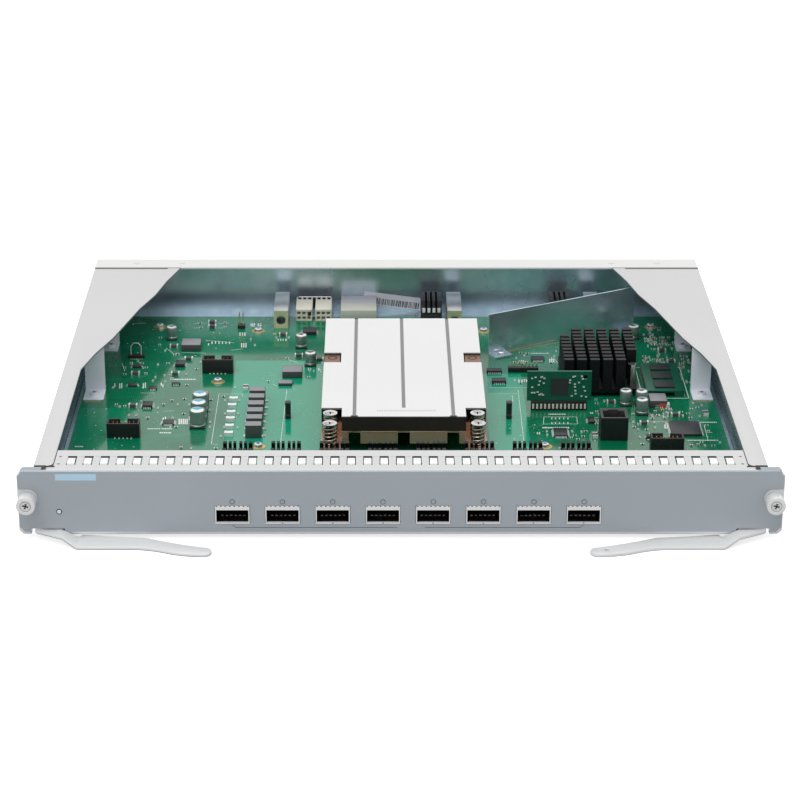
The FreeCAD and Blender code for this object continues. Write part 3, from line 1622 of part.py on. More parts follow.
def make_lever(side, label):
    """One lever: a flat plate with a hub and nose, stepped down in front of the panel to its handle."""
    drop_top = -size.handle_drop + size.lever_sheet
    low = -size.handle_drop
    inner = card_half - size.joggle_inner_inset
    outer = card_half - size.joggle_outer_inset
    nose_x = card_half - size.nose_end_inset
    lever_outer_x = card_half - size.lever_outer_inset
    far = nose_x + 1
    tip_x = card_half - size.handle_tip_inset
    near = tip_x - 1
    profile = [
        (side * near, low),
        (side * inner, low),
        (side * outer, lever_low),
        (side * far, lever_low),
        (side * far, lever_high),
        (side * outer, lever_high),
        (side * inner, drop_top),
        (side * near, drop_top),
    ]
    plate = new_body()
    reach = size.handle_reach
    start = -(reach + 1)
    pad(plate, "XZ_Plane", profile, start, size.wall_slot_end - start)

    pivot_y = size.pivot_y
    hub = size.hub_radius
    front = size.handle_front
    face = size.joggle_face
    tip_radius = (reach - front) / 2
    tip_low_x = tip_x + tip_radius
    points = [
        (lever_outer_x, 0),
        (lever_outer_x - size.lever_corner_x, -size.lever_corner_y),
        (inner + size.shoulder_x, -front + size.shoulder_rise, size.shoulder_bend),
        (inner - size.shoulder_inset, -front),
        (tip_low_x + size.grip_belly_x, -front, -size.grip_bend),
        (tip_low_x + size.grip_waist_x, -(front + reach) / 2 - size.grip_waist, size.grip_bend),
        (tip_low_x, -reach, tip_radius),
        (tip_x, -reach + tip_radius, tip_radius),
        (tip_low_x, -front, -size.grip_rear_bend),
        (tip_low_x + size.grip_rear_x, -size.grip_rear_y, -size.grip_long_bend),
        (inner - size.step_inner_x, size.handle_rear),
        (inner - size.step_middle_x, size.handle_rear),
        (inner - size.step_outer_x, -face),
        (outer, -face),
        (pivot_x - hub, pivot_y, hub),
        (pivot_x, pivot_y + hub),
        (nose_x - size.nose_inset, pivot_y + hub - size.nose_drop),
        (nose_x, pivot_y + size.nose_high),
        (nose_x, pivot_y + size.nose_low),
        (lever_outer_x, pivot_y - size.nose_low),
    ]
    # The arcs turn the other way on the mirrored lever.
    outline = []
    for point in points:
        corner = [side * point[0], point[1]]
        if len(point) > 2:
            corner.append(-side * point[2])
        outline.append(corner)
    plan = new_body()
    bottom = low - 1
    pad(plan, "XY_Plane", outline, bottom, lever_high + 1 - bottom)
    holes = [(side * pivot_x, pivot_y, size.pivot_radius + size.pivot_play)]
    if side > 0:
        holes.append((side * (card_half - size.tip_hole_inset), size.tip_hole_y, size.tip_hole_radius))
    pocket(plan, "XY_Plane", holes, bottom - 1, lever_high + 3 - bottom)
    lever = document.addObject("Part::Common", "Lever")
    lever.Base = plate
    lever.Tool = plan
    lever.Refine = True
    keep(lever, label)


def make_pivots():
    """The riveted pivots of the two levers."""
    pins = []
    head_low = lever_high + size.lever_lift
    for side in (-1, 1):
        x = side * pivot_x
        tenon = rod(x, size.pivot_y, 0, size.pivot_tenon, floor_top + 1)
        journal = rod(x, size.pivot_y, floor_top, size.pivot_radius, head_low - floor_top)
        head = rod(x, size.pivot_y, head_low, size.pivot_head_radius, size.pivot_head)
        pins.append(joined([tenon, journal, head]))
    keep(group(pins), "lever_pivots")


# Captive screws


def make_captive_screw(side, name):
    """One captive screw: knob with shank, the ring that keeps it in, and its spring."""
    reach = size.knob_reach
    inside_end = -reach + size.knob_end
    cavity = size.sleeve_radius + size.knob_play
    lip_back = -size.sleeve_reach + size.sleeve_lip
    ring_front = lip_back + size.ring_gap
    ring_end = ring_front + size.ring_width
    play = size.ring_play
    shell = rod(0, -reach, 0, size.knob_radius, size.knob_length, "Y")
    hollow = rod(0, inside_end, 0, cavity, size.knob_length, "Y")
    shank = rod(0, inside_end - size.knob_end / 2, 0, size.shank_radius,
                size.panel_sheet - inside_end + size.knob_end / 2, "Y")
    groove = cut(
        rod(0, ring_front - play, 0, size.ring_radius, size.ring_width + 2 * play, "Y"),
        [rod(0, ring_front - play - 1, 0, size.groove_radius, size.ring_width + 2, "Y")],
    )
    deep = size.recess_depth
    recess = cut(
        rod(0, -reach - 1, 0, size.recess_radius, deep + 1, "Y"),
        [rod(0, -reach - 2, 0, size.recess_radius - size.recess_ring, deep + 3, "Y")],
    )
    slot_width = size.recess_slot
    arm = size.recess_arm
    slots = [
        block(-slot_width / 2, -reach - 1, -arm, slot_width, 2 * deep + 1, 2 * arm),
        block(-arm, -reach - 1, -slot_width / 2, 2 * arm, 2 * deep + 1, slot_width),
    ]
    knob = cut(joined([cut(shell, [hollow]), shank]), [groove, recess] + slots)
    x = side * screw_x
    keep(knob, f"{name}_knob", x, 0, size.screw_z)

    ring = cut(
        rod(0, ring_front, 0, size.ring_radius, size.ring_width, "Y"),
        [rod(0, ring_front - 1, 0, size.groove_radius + play, size.ring_width + 2, "Y")],
    )
    keep(ring, f"{name}_ring", x, 0, size.screw_z)

    wire = size.screw_spring_wire
    height = -size.sleeve_reach - inside_end - 2 * wire - 2 * size.ring_gap
    start = inside_end + wire + size.ring_gap
    spring = coil(0, start, 0, size.screw_spring_radius, wire, height, size.screw_spring_turns, "Y")
    keep(group([spring]), f"{name}_spring", x, 0, size.screw_z)


def make_sleeves():
    """The sleeves that hold the captive screws in the panel's ears."""
    sleeves = []
    for side in (-1, 1):
        x = side * screw_x
        z = size.screw_z
        collar = rod(x, -size.sleeve_reach, z, size.sleeve_radius, size.sleeve_reach, "Y")
        neck = rod(x, -1, z, size.sleeve_neck, size.panel_sheet + 1, "Y")
        bore = rod(x, -size.sleeve_reach + size.sleeve_lip, z, size.sleeve_bore,
                   size.sleeve_reach + size.panel_sheet, "Y")
        passage_radius = size.shank_radius + size.shank_play
        passage = rod(x, -size.sleeve_reach - 1, z, passage_radius, size.sleeve_reach, "Y")
        sleeves.append(cut(joined([collar, neck]), [bore, passage]))
    keep(group(sleeves), "screw_sleeves")


make_front_panel()
make_face_overlay()
make_tray()
make_covers()
make_rail_and_fingers()
make_board()
make_ports()
make_cooler_base()
make_cooler_fins()
make_cooler_screws()
make_covered_chips()
make_pin_cooler()
make_air_baffle()
make_bracket_pair(
    "front_brackets", size.bracket_inset, size.bracket_width, size.front_bracket_y, size.front_bracket_foot
)
make_bracket_pair(
    "rear_brackets", size.rear_bracket_inset, size.rear_bracket_width, size.rear_bracket_y,
    size.rear_bracket_foot,
)
make_riser()
make_memory_board()
make_box_headers()
make_clips()
make_service_jack()
make_small_parts()
make_guides_and_plugs()
make_lever(-1, "left_lever")
make_lever(1, "right_lever")
make_pivots()
make_captive_screw(-1, "left")
make_captive_screw(1, "right")
make_sleeves()

document.recompute()

for thing in document.Objects:
    if "Invalid" in thing.State or "Error" in thing.State:
        raise RuntimeError(f"{thing.Name} ({thing.Label}) did not build: {thing.State}")

os.makedirs("parts", exist_ok=True)
whole = FreeCAD.BoundBox()
for part in sub_parts:
    shape = part.Shape
    if shape.isNull() or not shape.isValid() or not shape.Solids:
        raise RuntimeError(f"{part.Label} is not a valid solid")
    whole.add(shape.BoundBox)
    shape.exportStep(f"parts/{part.Label}.step")
print(len(sub_parts), "sub-parts")
print("low corner", whole.XMin, whole.YMin, whole.ZMin)
print("high corner", whole.XMax, whole.YMax, whole.ZMax)
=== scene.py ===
import math
import random

import bpy
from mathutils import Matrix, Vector


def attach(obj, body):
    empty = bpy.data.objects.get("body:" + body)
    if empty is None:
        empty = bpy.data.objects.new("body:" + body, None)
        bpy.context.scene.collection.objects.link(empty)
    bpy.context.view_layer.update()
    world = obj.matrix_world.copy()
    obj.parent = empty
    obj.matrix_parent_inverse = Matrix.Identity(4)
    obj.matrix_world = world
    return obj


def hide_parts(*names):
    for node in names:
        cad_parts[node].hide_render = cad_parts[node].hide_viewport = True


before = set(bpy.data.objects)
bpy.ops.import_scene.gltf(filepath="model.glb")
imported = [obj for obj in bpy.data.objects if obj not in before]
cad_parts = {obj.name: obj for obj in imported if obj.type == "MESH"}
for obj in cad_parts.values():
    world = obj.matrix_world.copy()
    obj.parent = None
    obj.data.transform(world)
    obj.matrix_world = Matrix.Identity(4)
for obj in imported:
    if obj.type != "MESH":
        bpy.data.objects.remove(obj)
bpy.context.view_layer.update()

# The card is measured in millimetres: X across, Y back from the panel's face, Z up from its lower edge.
MM = 0.001
CARD_SHIFT = Vector((0.0, -171.75, 2.6))
BOARD_TOP = 7.4
COVER_TOP = 40.2
RAIL_TOP = 39.8
PANEL_TOP = 40.5
PORTS = [-96.9 + 28.9 * number for number in range(8)]
# Where flat print lies on the panel's face.
PRINT_Y = -0.33
STATUS_LIGHT = (-196.5, PRINT_Y, 15.0)
KNOB_X, KNOB_FACE, KNOB_Z = 214.0, -12.2, 23.6
COOLER_X, COOLER_FRONT, COOLER_TOP = 2.8, 98.2, 33.0
SIGNAL_PLUGS_X = (24.3, 114.5)
WINDOW_COUNT, WINDOW_PITCH = 41, 9.5
# The bare label leans with the ribbon it hangs on, in degrees.
LABEL_TILT = 7.5


def at(x, y, z):
    """A place on the card, in metres in the row's frame."""
    return (Vector((x, y, z)) + CARD_SHIFT) * MM


# Finishes


def group_tree(name, inputs, outputs):
    """An empty shader group with named sockets."""
    tree = bpy.data.node_groups.new(name, "ShaderNodeTree")
    for label, kind, default in inputs:
        socket = tree.interface.new_socket(label, in_out="INPUT", socket_type=kind)
        socket.default_value = default
    for label, kind in outputs:
        tree.interface.new_socket(label, in_out="OUTPUT", socket_type=kind)
    return tree, tree.nodes.new("NodeGroupInput"), tree.nodes.new("NodeGroupOutput")


def with_inputs(node, inputs):
    """Fill a node's inputs by their labels, with _ for a space."""
    for label, value in inputs.items():
        node.inputs[label.replace("_", " ")].default_value = value
    return node


def added(tree, kind, **inputs):
    """A new node of a tree, with some of its inputs filled."""
    return with_inputs(tree.nodes.new(kind), inputs)


def joined(tree, joins):
    """Join a tree's nodes, from an output of one to an input of another."""
    for source, output, target, socket in joins:
        tree.links.new(source.outputs[output], target.inputs[socket])
    return tree


def make_grain_group():
    """Even grain: a mask, and a colour that wanders a little between two tones."""
    tree, inside, out = group_tree(
        "Grain",
        [
            ("Vector", "NodeSocketVector", (0, 0, 0)),
            ("Tone A", "NodeSocketColor", (0.5, 0.5, 0.5, 1)),
            ("Tone B", "NodeSocketColor", (0.6, 0.6, 0.6, 1)),
            ("Scale", "NodeSocketFloat", 600.0),
            ("Cloud Scale", "NodeSocketFloat", 18.0),
        ],
        [("Color", "NodeSocketColor"), ("Mask", "NodeSocketFloat"), ("Cloud", "NodeSocketFloat")],
    )
    fine = added(tree, "ShaderNodeTexNoise", Detail=3)
    cloud = added(tree, "ShaderNodeTexNoise", Detail=4)
    blend = tree.nodes.new("ShaderNodeMath")
    blend.operation = "MULTIPLY_ADD"
    blend.inputs[1].default_value = 0.35
    tone = tree.nodes.new("ShaderNodeMix")
    tone.data_type = "RGBA"
    return joined(tree, [
        (inside, "Vector", fine, "Vector"), (inside, "Vector", cloud, "Vector"),
        (inside, "Scale", fine, "Scale"), (inside, "Cloud Scale", cloud, "Scale"),
        (fine, "Fac", blend, 0), (cloud, "Fac", blend, 2), (blend, 0, tone, "Factor"),
        (inside, "Tone A", tone, "A"), (inside, "Tone B", tone, "B"), (tone, "Result", out, "Color"),
        (fine, "Fac", out, "Mask"), (cloud, "Fac", out, "Cloud"),
    ])


def make_brushed_group():
    """Long fine lines in one direction, with scattered scratches."""
    tree, inside, out = group_tree(
        "Brushed",
        [("Vector", "NodeSocketVector", (0, 0, 0)), ("Stretch", "NodeSocketVector", (20, 2500, 2500))],
        [("Mask", "NodeSocketFloat"), ("Scratch", "NodeSocketFloat")],
    )
    stretch = tree.nodes.new("ShaderNodeVectorMath")
    stretch.operation = "MULTIPLY"
    lines = added(tree, "ShaderNodeTexNoise", Scale=1.0, Detail=2)
    cells = added(tree, "ShaderNodeTexVoronoi", Scale=38.0)
    cells.feature = "DISTANCE_TO_EDGE"
    thin = added(tree, "ShaderNodeMapRange", From_Max=0.008, To_Min=1.0, To_Max=0.0)
    return joined(tree, [
        (inside, "Vector", stretch, 0), (inside, "Stretch", stretch, 1), (stretch, 0, lines, "Vector"),
        (inside, "Vector", cells, "Vector"), (cells, "Distance", thin, "Value"),
        (lines, "Fac", out, "Mask"), (thin, "Result", out, "Scratch"),
    ])


GRAIN = make_grain_group()
BRUSHED = make_brushed_group()


def colour(red, green=None, blue=None):
    """A colour read from the photo in 0 to 255, or a grey, as Blender's linear values."""
    def linear(value):
        value = value / 255
        return value / 12.92 if value <= 0.04045 else ((value + 0.055) / 1.055) ** 2.4

    if green is None:
        green = blue = red
    return (linear(red), linear(green), linear(blue), 1.0)


class Finish:
    """A material being made, with short ways to add and join its nodes."""

    def __init__(self, name):
        self.material = bpy.data.materials.new(name)
        self.material.use_nodes = True
        self.link = self.material.node_tree.links.new
        self.shader = self.material.node_tree.nodes["Principled BSDF"]
        self.place = self.add("ShaderNodeTexCoord").outputs["Object"]

    def add(self, kind, **inputs):
        return added(self.material.node_tree, kind, **inputs)

    def group(self, tree, **inputs):
        node = self.add("ShaderNodeGroup")
        node.node_tree = tree
        with_inputs(node, inputs)
        self.link(self.place, node.inputs["Vector"])
        return node

    def grain(self, tone, other, scale, cloud=18.0):
        """Grain between two tones given in 0 to 255."""
        return self.group(GRAIN, Tone_A=colour(*tone), Tone_B=colour(*other), Scale=scale, Cloud_Scale=cloud)

    def axes(self):
        """X, Y and Z of the place, in metres in the row's frame."""
        split = self.add("ShaderNodeSeparateXYZ")
        self.link(self.place, split.inputs[0])
        return split.outputs

    def cells(self, scale, square=False):
        """Scattered cells: their distances, and a random red and green for each."""
        node = self.add("ShaderNodeTexVoronoi", Scale=scale)
        if square:
            node.distance = "CHEBYCHEV"
        self.link(self.place, node.inputs["Vector"])
        shade = self.add("ShaderNodeSeparateColor")
        self.link(node.outputs["Color"], shade.inputs[0])
        return node.outputs["Distance"], shade.outputs[0], shade.outputs[1]

    def math(self, operation, first, second):
        node = self.add("ShaderNodeMath")
        node.operation = operation
        for socket, value in zip(node.inputs, (first, second)):
            if isinstance(value, (int, float)):
                socket.default_value = value
            else:
                self.link(value, socket)
        return node.outputs[0]

    def times(self, first, second):
        return self.math("MULTIPLY", first, second)

    def plus(self, first, second):
        return self.math("ADD", first, second)

    def above(self, value, limit):
        return self.math("GREATER_THAN", value, limit)

    def below(self, value, limit):
        return self.math("LESS_THAN", value, limit)

    def mix(self, factor, first, second):
        node = self.add("ShaderNodeMix")
        node.data_type = "RGBA"
        for label, value in (("Factor", factor), ("A", first), ("B", second)):
            if isinstance(value, (tuple, int, float)):
                node.inputs[label].default_value = value
            else:
                self.link(value, node.inputs[label])
        return node.outputs["Result"]

    def spread(self, value, low, high):
        """Bring a mask into a range."""
        node = self.add("ShaderNodeMapRange", To_Min=low, To_Max=high)
        self.link(value, node.inputs["Value"])
        return node.outputs["Result"]

    def drive(self, label, value):
        """Let a mask or a colour drive one of the shader's inputs."""
        self.link(value, self.shader.inputs[label])

    def bump(self, height, strength, distance):
        node = self.add("ShaderNodeBump", Strength=strength, Distance=distance)
        self.link(height, node.inputs["Height"])
        self.drive("Normal", node.outputs["Normal"])

    def paint(self, value):
        self.drive("Base Color", value)

    def set(self, **values):
        with_inputs(self.shader, values)


def plain_finish(name, tone, other, rough, metallic=0.0, scale=900.0, bump=0.15):
    """A moulded, cast or painted surface: two close tones, fine grain and an uneven shine."""
    finish = Finish(name)
    grains = finish.grain(tone, other, scale)
    finish.paint(grains.outputs["Color"])
    finish.drive("Roughness", finish.spread(grains.outputs["Cloud"], max(0.02, rough - 0.07), rough + 0.07))
    finish.bump(grains.outputs["Mask"], bump, 0.00005)
    finish.set(Metallic=metallic)
    return finish


def brushed_finish(name, tone, other, rough, stretch, metallic):
    """Rolled or brushed metal, with its lines along one direction."""
    finish = Finish(name)
    lines = finish.group(BRUSHED, Stretch=stretch)
    grains = finish.grain(tone, other, 300.0, 9.0)
    mask = lines.outputs["Mask"]
    finish.paint(finish.mix(finish.times(mask, 0.3), grains.outputs["Color"], colour(*other)))
    finish.drive("Roughness", finish.spread(mask, rough - 0.06, rough + 0.1))
    finish.bump(finish.plus(mask, finish.times(lines.outputs["Scratch"], 0.4)), 0.08, 0.00003)
    finish.set(Metallic=metallic)
    return finish


def two_part_finish(name, axis, limit, low, high):
    """One node with two surfaces, parted at a limit along an axis. A surface is tones, shine and metal."""
    finish = Finish(name)
    beyond = finish.above(finish.axes()[axis], limit)
    first, second = [finish.grain(tone, other, 900.0, 14.0) for tone, other, _, _ in (low, high)]
    finish.paint(finish.mix(beyond, first.outputs["Color"], second.outputs["Color"]))
    uneven = finish.spread(first.outputs["Cloud"], -0.06, 0.06)
    finish.drive("Roughness", finish.plus(finish.spread(beyond, low[2], high[2]), uneven))
    finish.drive("Metallic", finish.spread(beyond, low[3], high[3]))
    finish.bump(first.outputs["Mask"], 0.12, 0.00004)
    return finish


def fin_finish():
    """Fins painted near black as shade under a white top plate, and a grey band of painted shade in the
    grooves, told apart by height.
    """
    plate_low, plate_high = 0.0345, 0.03545
    finish = Finish("Fin Stack")
    height = finish.axes()["Z"]
    plate = finish.above(height, plate_low)
    top = finish.above(height, plate_high)
    # Painted shade: the fins under the plate are near black, and the grooves' floors are grey.
    fin_shade = finish.grain((18, 18, 17), (30, 29, 27), 300.0, 14.0)
    sheet = finish.grain((228,), (236,), 500.0, 9.0)
    low = finish.mix(plate, fin_shade.outputs["Color"], colour(140, 140, 142))
    finish.paint(finish.mix(top, low, sheet.outputs["Color"]))
    finish.drive("Roughness", finish.spread(sheet.outputs["Cloud"], 0.5, 0.66))
    finish.bump(fin_shade.outputs["Mask"], 0.1, 0.00004)
    return finish


def panel_finish():
    """White plated sheet, painted like the overlay on the ears' upper edges and on the face's upper rim."""
    ear_side, ear_low, face_y, rim_low = 0.2046, 0.0415, -0.1705, 0.0425
    finish = Finish("Panel Metal")
    x, y, z = finish.axes()
    ear = finish.times(finish.above(finish.math("ABSOLUTE", x, 0.0), ear_side), finish.above(z, ear_low))
    rim = finish.times(finish.below(y, face_y), finish.above(z, rim_low))
    plating = finish.grain((232, 233, 235), (240, 240, 241), 700.0)
    painted = finish.math("MAXIMUM", rim, ear)
    finish.paint(finish.mix(painted, plating.outputs["Color"], colour(164, 173, 180)))
    finish.drive("Roughness", finish.spread(plating.outputs["Cloud"], 0.28, 0.42))
    finish.bump(plating.outputs["Mask"], 0.15, 0.00005)
    finish.set(Metallic=0.2)
    return finish


def steel_finish():
    """Galvanised sheet: pale spangle under a bluish sheen, and a whiter flange along the rear edge's top."""
    flange_low = 0.0417
    finish = Finish("Galvanised Sheet")
    spangle = finish.cells(130.0)[0]
    grains = finish.grain((172, 198, 212), (228, 240, 248), 240.0, 16.0)
    flange = finish.above(finish.axes()["Z"], flange_low)
    sheet = finish.mix(finish.times(spangle, 0.5), grains.outputs["Color"], colour(176, 196, 212))
    finish.paint(finish.mix(flange, sheet, colour(230, 230, 229)))
    shine = finish.spread(grains.outputs["Cloud"], 0.16, 0.34)
    finish.drive("Roughness", finish.plus(shine, finish.times(flange, 0.3)))
    finish.bump(spangle, 0.06, 0.00005)
    finish.drive("Metallic", finish.spread(flange, 0.84, 0.2))
    return finish


# Broad paler pours beside the big cooler, lightened further as painted reflection: low X, high X and high Y
# in the row's frame.
POUR_AND_REFLECTION_ZONES = [(-0.108, -0.0485, 0.084), (0.0565, 0.0815, 0.06)]
TRACK_PITCH = 0.0013
TRACK_SHARE = 0.34


def board_finish():
    """Green lacquer over copper: broad pours, zones beside the cooler lightened as painted reflection, fine
    tracks in two directions, and vias.
    """
    finish = Finish("Main Board Lacquer")
    x, y, _ = finish.axes()
    _, pour_shade, _ = finish.cells(26.0, square=True)
    _, area_shade, via_shade = finish.cells(58.0, square=True)
    runs = []
    for place, here in ((x, finish.above(area_shade, 0.7)), (y, finish.below(area_shade, 0.3))):
        phase = finish.math("FRACT", finish.math("DIVIDE", place, TRACK_PITCH), 0.0)
        runs.append(finish.times(finish.below(phase, TRACK_SHARE), here))
    track = finish.math("MAXIMUM", *runs)
    via = finish.times(finish.below(finish.cells(330.0)[0], 0.16), finish.above(via_shade, 0.62))
    base = finish.mix(finish.times(pour_shade, 0.55), colour(0, 104, 68), colour(0, 132, 98))
    # Painted reflection: the board is lightened inside these zones.
    for low_x, high_x, high_y in POUR_AND_REFLECTION_ZONES:
        inside = finish.times(finish.above(x, low_x), finish.below(x, high_x))
        inside = finish.times(inside, finish.below(y, high_y))
        base = finish.mix(finish.times(inside, 0.8), base, colour(16, 162, 126))
    base = finish.mix(finish.times(track, 0.4), base, colour(14, 150, 112))
    finish.paint(finish.mix(finish.times(via, 0.8), base, colour(120, 176, 140)))
    cloud = finish.group(GRAIN, Scale=500.0, Cloud_Scale=30.0)
    finish.drive("Roughness", finish.spread(cloud.outputs["Cloud"], 0.1, 0.2))
    finish.bump(finish.plus(track, via), 0.12, 0.00004)
    finish.set(Coat_Weight=0.4, Coat_Roughness=0.06, Specular_IOR_Level=0.3)
    return finish


ALONG_X = (12, 2200, 2200)
ALONG_Y = (2200, 12, 2200)
ALONG_Z = (2200, 2200, 12)

# Name, two tones in 0 to 255, roughness, direction of the lines and metal.
BRUSHED_FINISHES = {
    "cover": ("Cover Sheet", (204,), (213,), 0.5, ALONG_X, 0.25),
    "rail": ("Rail Sheet", (208, 208, 209), (217, 217, 218), 0.38, ALONG_X, 0.3),
    "fingers": ("Spring Fingers", (238,), (246,), 0.3, ALONG_Y, 0.3),
    "lever": ("Lever Metal", (238,), (245,), 0.32, ALONG_X, 0.2),
    "knob": ("Knob Metal", (232, 232, 233), (242,), 0.3, ALONG_Y, 0.35),
    "cage": ("Cage Sheet", (238,), (249, 249, 248), 0.34, ALONG_X, 0.3),
    "bracket": ("Bracket Sheet", (226, 231, 242), (238, 241, 249), 0.36, ALONG_Z, 0.2),
}

# Name, two tones in 0 to 255, roughness, and then metal, scale of the grain and bump where they differ.
PLAIN_FINISHES = {
    "overlay": ("Panel Overlay", (166, 175, 182), (173, 181, 189), 0.5, 0.0, 1400, 0.1),
    "screw": ("Screw Plating", (196, 192, 186), (224, 222, 220), 0.2, 1.0, 500),
    "spring": ("Spring Wire", (84, 76, 66), (150, 138, 122), 0.22, 1.0, 500),
    "black_metal": ("Black Anodised", (8, 9, 11), (17, 18, 21), 0.46, 0.1, 800),
    "black_plastic": ("Black Plastic", (16, 17, 18), (26, 27, 29), 0.38),
    "dark_plastic": ("Socket Plastic", (12,), (20, 19, 18), 0.45),
    "chip": ("Chip Resin", (32, 34, 38), (46, 48, 52), 0.4, 0, 1200),
    "coil": ("Coil Moulding", (58, 61, 62), (78, 81, 82), 0.45),
    "cream": ("Cream Plastic", (206, 203, 188), (222, 219, 206), 0.45),
    "pipe": ("Light Pipe", (186, 192, 198), (214, 220, 226), 0.12, 0, 300, 0.03),
    "copper": ("Copper Base", (200, 158, 132), (224, 188, 164), 0.28, 0.65, 500),
    "can": ("Can Sleeve", (112, 132, 128), (150, 168, 163), 0.32, 0.6, 300),
    "tin": ("Solder Tin", (226, 228, 230), (246,), 0.3, 0.35, 700),
    "gold": ("Gold Plating", (214, 178, 96), (240, 210, 140), 0.22, 1.0, 500),
    "white_ink": ("White Ink", (214, 228, 220), (236, 242, 238), 0.5),
    "gold_edge": ("Gold Edge", (196, 168, 96), (224, 198, 132), 0.3, 0.8, 600),
    "pale_plastic": ("Pale Nylon", (206, 212, 218), (226, 230, 234), 0.4, 0, 500),
    "ceramic": ("Ceramic", (116, 96, 78), (150, 128, 104), 0.4, 0, 1200),
    "cyan": ("Cyan Print", (40, 150, 196), (80, 186, 222), 0.35),
    # Grey print, also painted shade in cross recesses, bezel notches and the gaps round the light pipes.
    "print_and_shade_grey": ("Grey Print and Painted Shade", (52, 56, 60), (76, 80, 84), 0.5),
    "print_blue": ("Pale Blue Field", (182, 217, 240), (194, 225, 244), 0.5),
    "can_top": ("Can Top", (232, 233, 235), (246, 246, 247), 0.45, 0.0, 300),
    # Painted reflection: a violet tint in screw wells and on part of the sprung heads' rims.
    "violet_reflection": ("Violet Painted Reflection", (64, 60, 140), (112, 106, 180), 0.25, 0.7, 700),
    # Painted light: the coils' upward faces are lighter than their sides.
    "coil_lit_top": ("Coil Top Painted Light", (128, 129, 134), (146, 147, 152), 0.4),
    # Painted highlight: the light line along the cooler base's front edge.
    "copper_edge_highlight": ("Copper Edge Painted Highlight", (214, 180, 152), (232, 204, 180), 0.35, 0.3, 500),
    "label": ("Bare Label", (232, 230, 240), (246, 245, 250), 0.5),
    # Painted shade: the levers' downward edge facets.
    "lever_underside_shade": ("Lever Underside Painted Shade", (66, 64, 62), (92, 90, 88), 0.4, 0.3, 700),
    # A cut sheet edge's duller grey, darkened further as painted shade; also used for painted shadow and
    # ring grooves.
    "cut_edge_shade": ("Cut Edge Painted Shade", (112, 113, 115), (142, 143, 144), 0.5, 0.3),
    # Painted shade: a dark sheet across the fins' front.
    "fin_face_shade": ("Fin Front Painted Shade", (36, 31, 27), (50, 44, 40), 0.42, 0.2, 500),
    "head_plating": ("Head Plating", (222, 196, 188), (242, 226, 222), 0.34, 0.3, 500),
    # Painted shade in cross recesses and screw holes.
    "recess": ("Painted Recess Shade", (34, 24, 20), (52, 40, 36), 0.5, 0.0, 700),
    "bronze": ("Brown Copper", (112, 80, 62), (146, 108, 86), 0.4, 0.2, 500),
    "lilac": ("Lilac Moulding", (188, 186, 196), (202, 200, 208), 0.45),
    "orange": ("Orange Lens", (150, 44, 16), (214, 92, 40), 0.3, 0, 600),
    # Painted shade and shadow in gaps, slots and seams.
    "shade": ("Painted Shade Strip", (22, 22, 23), (34, 34, 35), 0.6),
    "pale_line": ("Pale Line", (178, 178, 180), (190, 190, 192), 0.5),
}

BOARD_GREEN = ((0, 78, 58), (0, 92, 70), 0.35, 0.0)
RESIN = ((30, 32, 36), (44, 46, 50), 0.42, 0.0)
PALE_MOULDING = ((196, 196, 186), (214, 213, 204), 0.45, 0.0)
DARK_MOULDING = ((34, 36, 40), (48, 50, 54), 0.45, 0.0)
YELLOW_ZINC = ((196, 200, 158), (212, 214, 178), 0.4, 0.3)
BARE_ZINC = ((168, 172, 176), (194, 197, 200), 0.3, 0.8)
MEMORY_CHIP_FOOT, RISER_FACE, GUIDE_SPLIT = 0.01425, -0.0008, 0.1443

# Name, axis, limit, and the surfaces below and beyond it: two tones, roughness and metal.
TWO_PART_FINISHES = {
    "memory": ("Memory Board", "Z", MEMORY_CHIP_FOOT, BOARD_GREEN, RESIN),
    "riser": ("Riser Board", "Y", RISER_FACE, RESIN, BOARD_GREEN),
    "signal": ("Signal Plugs", "X", 0.0, PALE_MOULDING, DARK_MOULDING),
    "guide": ("Guide Block", "Y", GUIDE_SPLIT, YELLOW_ZINC, BARE_ZINC),
}


def make_finishes():
    """All finishes of the card."""
    made = {name: brushed_finish(*given) for name, given in BRUSHED_FINISHES.items()}
    made.update((name, plain_finish(*given)) for name, given in PLAIN_FINISHES.items())
    made.update((name, two_part_finish(*given)) for name, given in TWO_PART_FINISHES.items())
    made["pipe"].set(Transmission_Weight=0.35, IOR=1.49)
    made["black_metal"].set(Specular_IOR_Level=0.25)
    made.update(panel=panel_finish(), steel=steel_finish(), fin_stack=fin_finish(), board=board_finish())
    return {name: finish.material for name, finish in made.items()}


FINISH = make_finishes()

CAD_FINISHES = {
    "steel": "tray air_baffle",
    "cover": "cover_left cover_right",
    "panel": "front_panel",
    "overlay": "face_overlay",
    "rail": "front_rail",
    "fingers": "finger_strip",
    "board": "main_board",
    "screw": "standoffs board_screws cooler_screws pin_cooler_screws lever_pivots screw_sleeves",
    "dark_plastic": "port_sockets",
    "pipe": "light_pipes",
    "copper": "cooler_base",
    "fin_stack": "cooler_fins",
    "spring": "cooler_springs left_ring right_ring left_spring right_spring",
    "chip": "covered_chips board_chips",
    "black_metal": "pin_cooler " + " ".join(f"port_sink_{number}" for number in range(1, 9)),
    "cage": " ".join(f"port_cage_{number}" for number in range(1, 9)),
    "bracket": "front_brackets rear_brackets",
    "black_plastic": "box_headers jumper_headers service_jack riser_socket",
    "riser": "riser_board",
    "memory": "memory_board",
    "can": "capacitors",
    "coil": "power_inductors",
    "guide": "guide_blocks",
    "cream": "power_plugs",
    "signal": "signal_plugs",
    "lever": "left_lever right_lever",
    "knob": "left_knob right_knob",
}

for finish, nodes in CAD_FINISHES.items():
    for node in nodes.split():
        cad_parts[node].data.materials.clear()
        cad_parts[node].data.materials.append(FINISH[finish])


# How pieces are made

CAMERA_PLACE = at(-13.8, -1315.3, 626.8)
CAMERA_TILT = math.radians(22.4135)
FOCAL_PIXELS = 2518.8
PRINCIPAL = (376.7, 400.0)


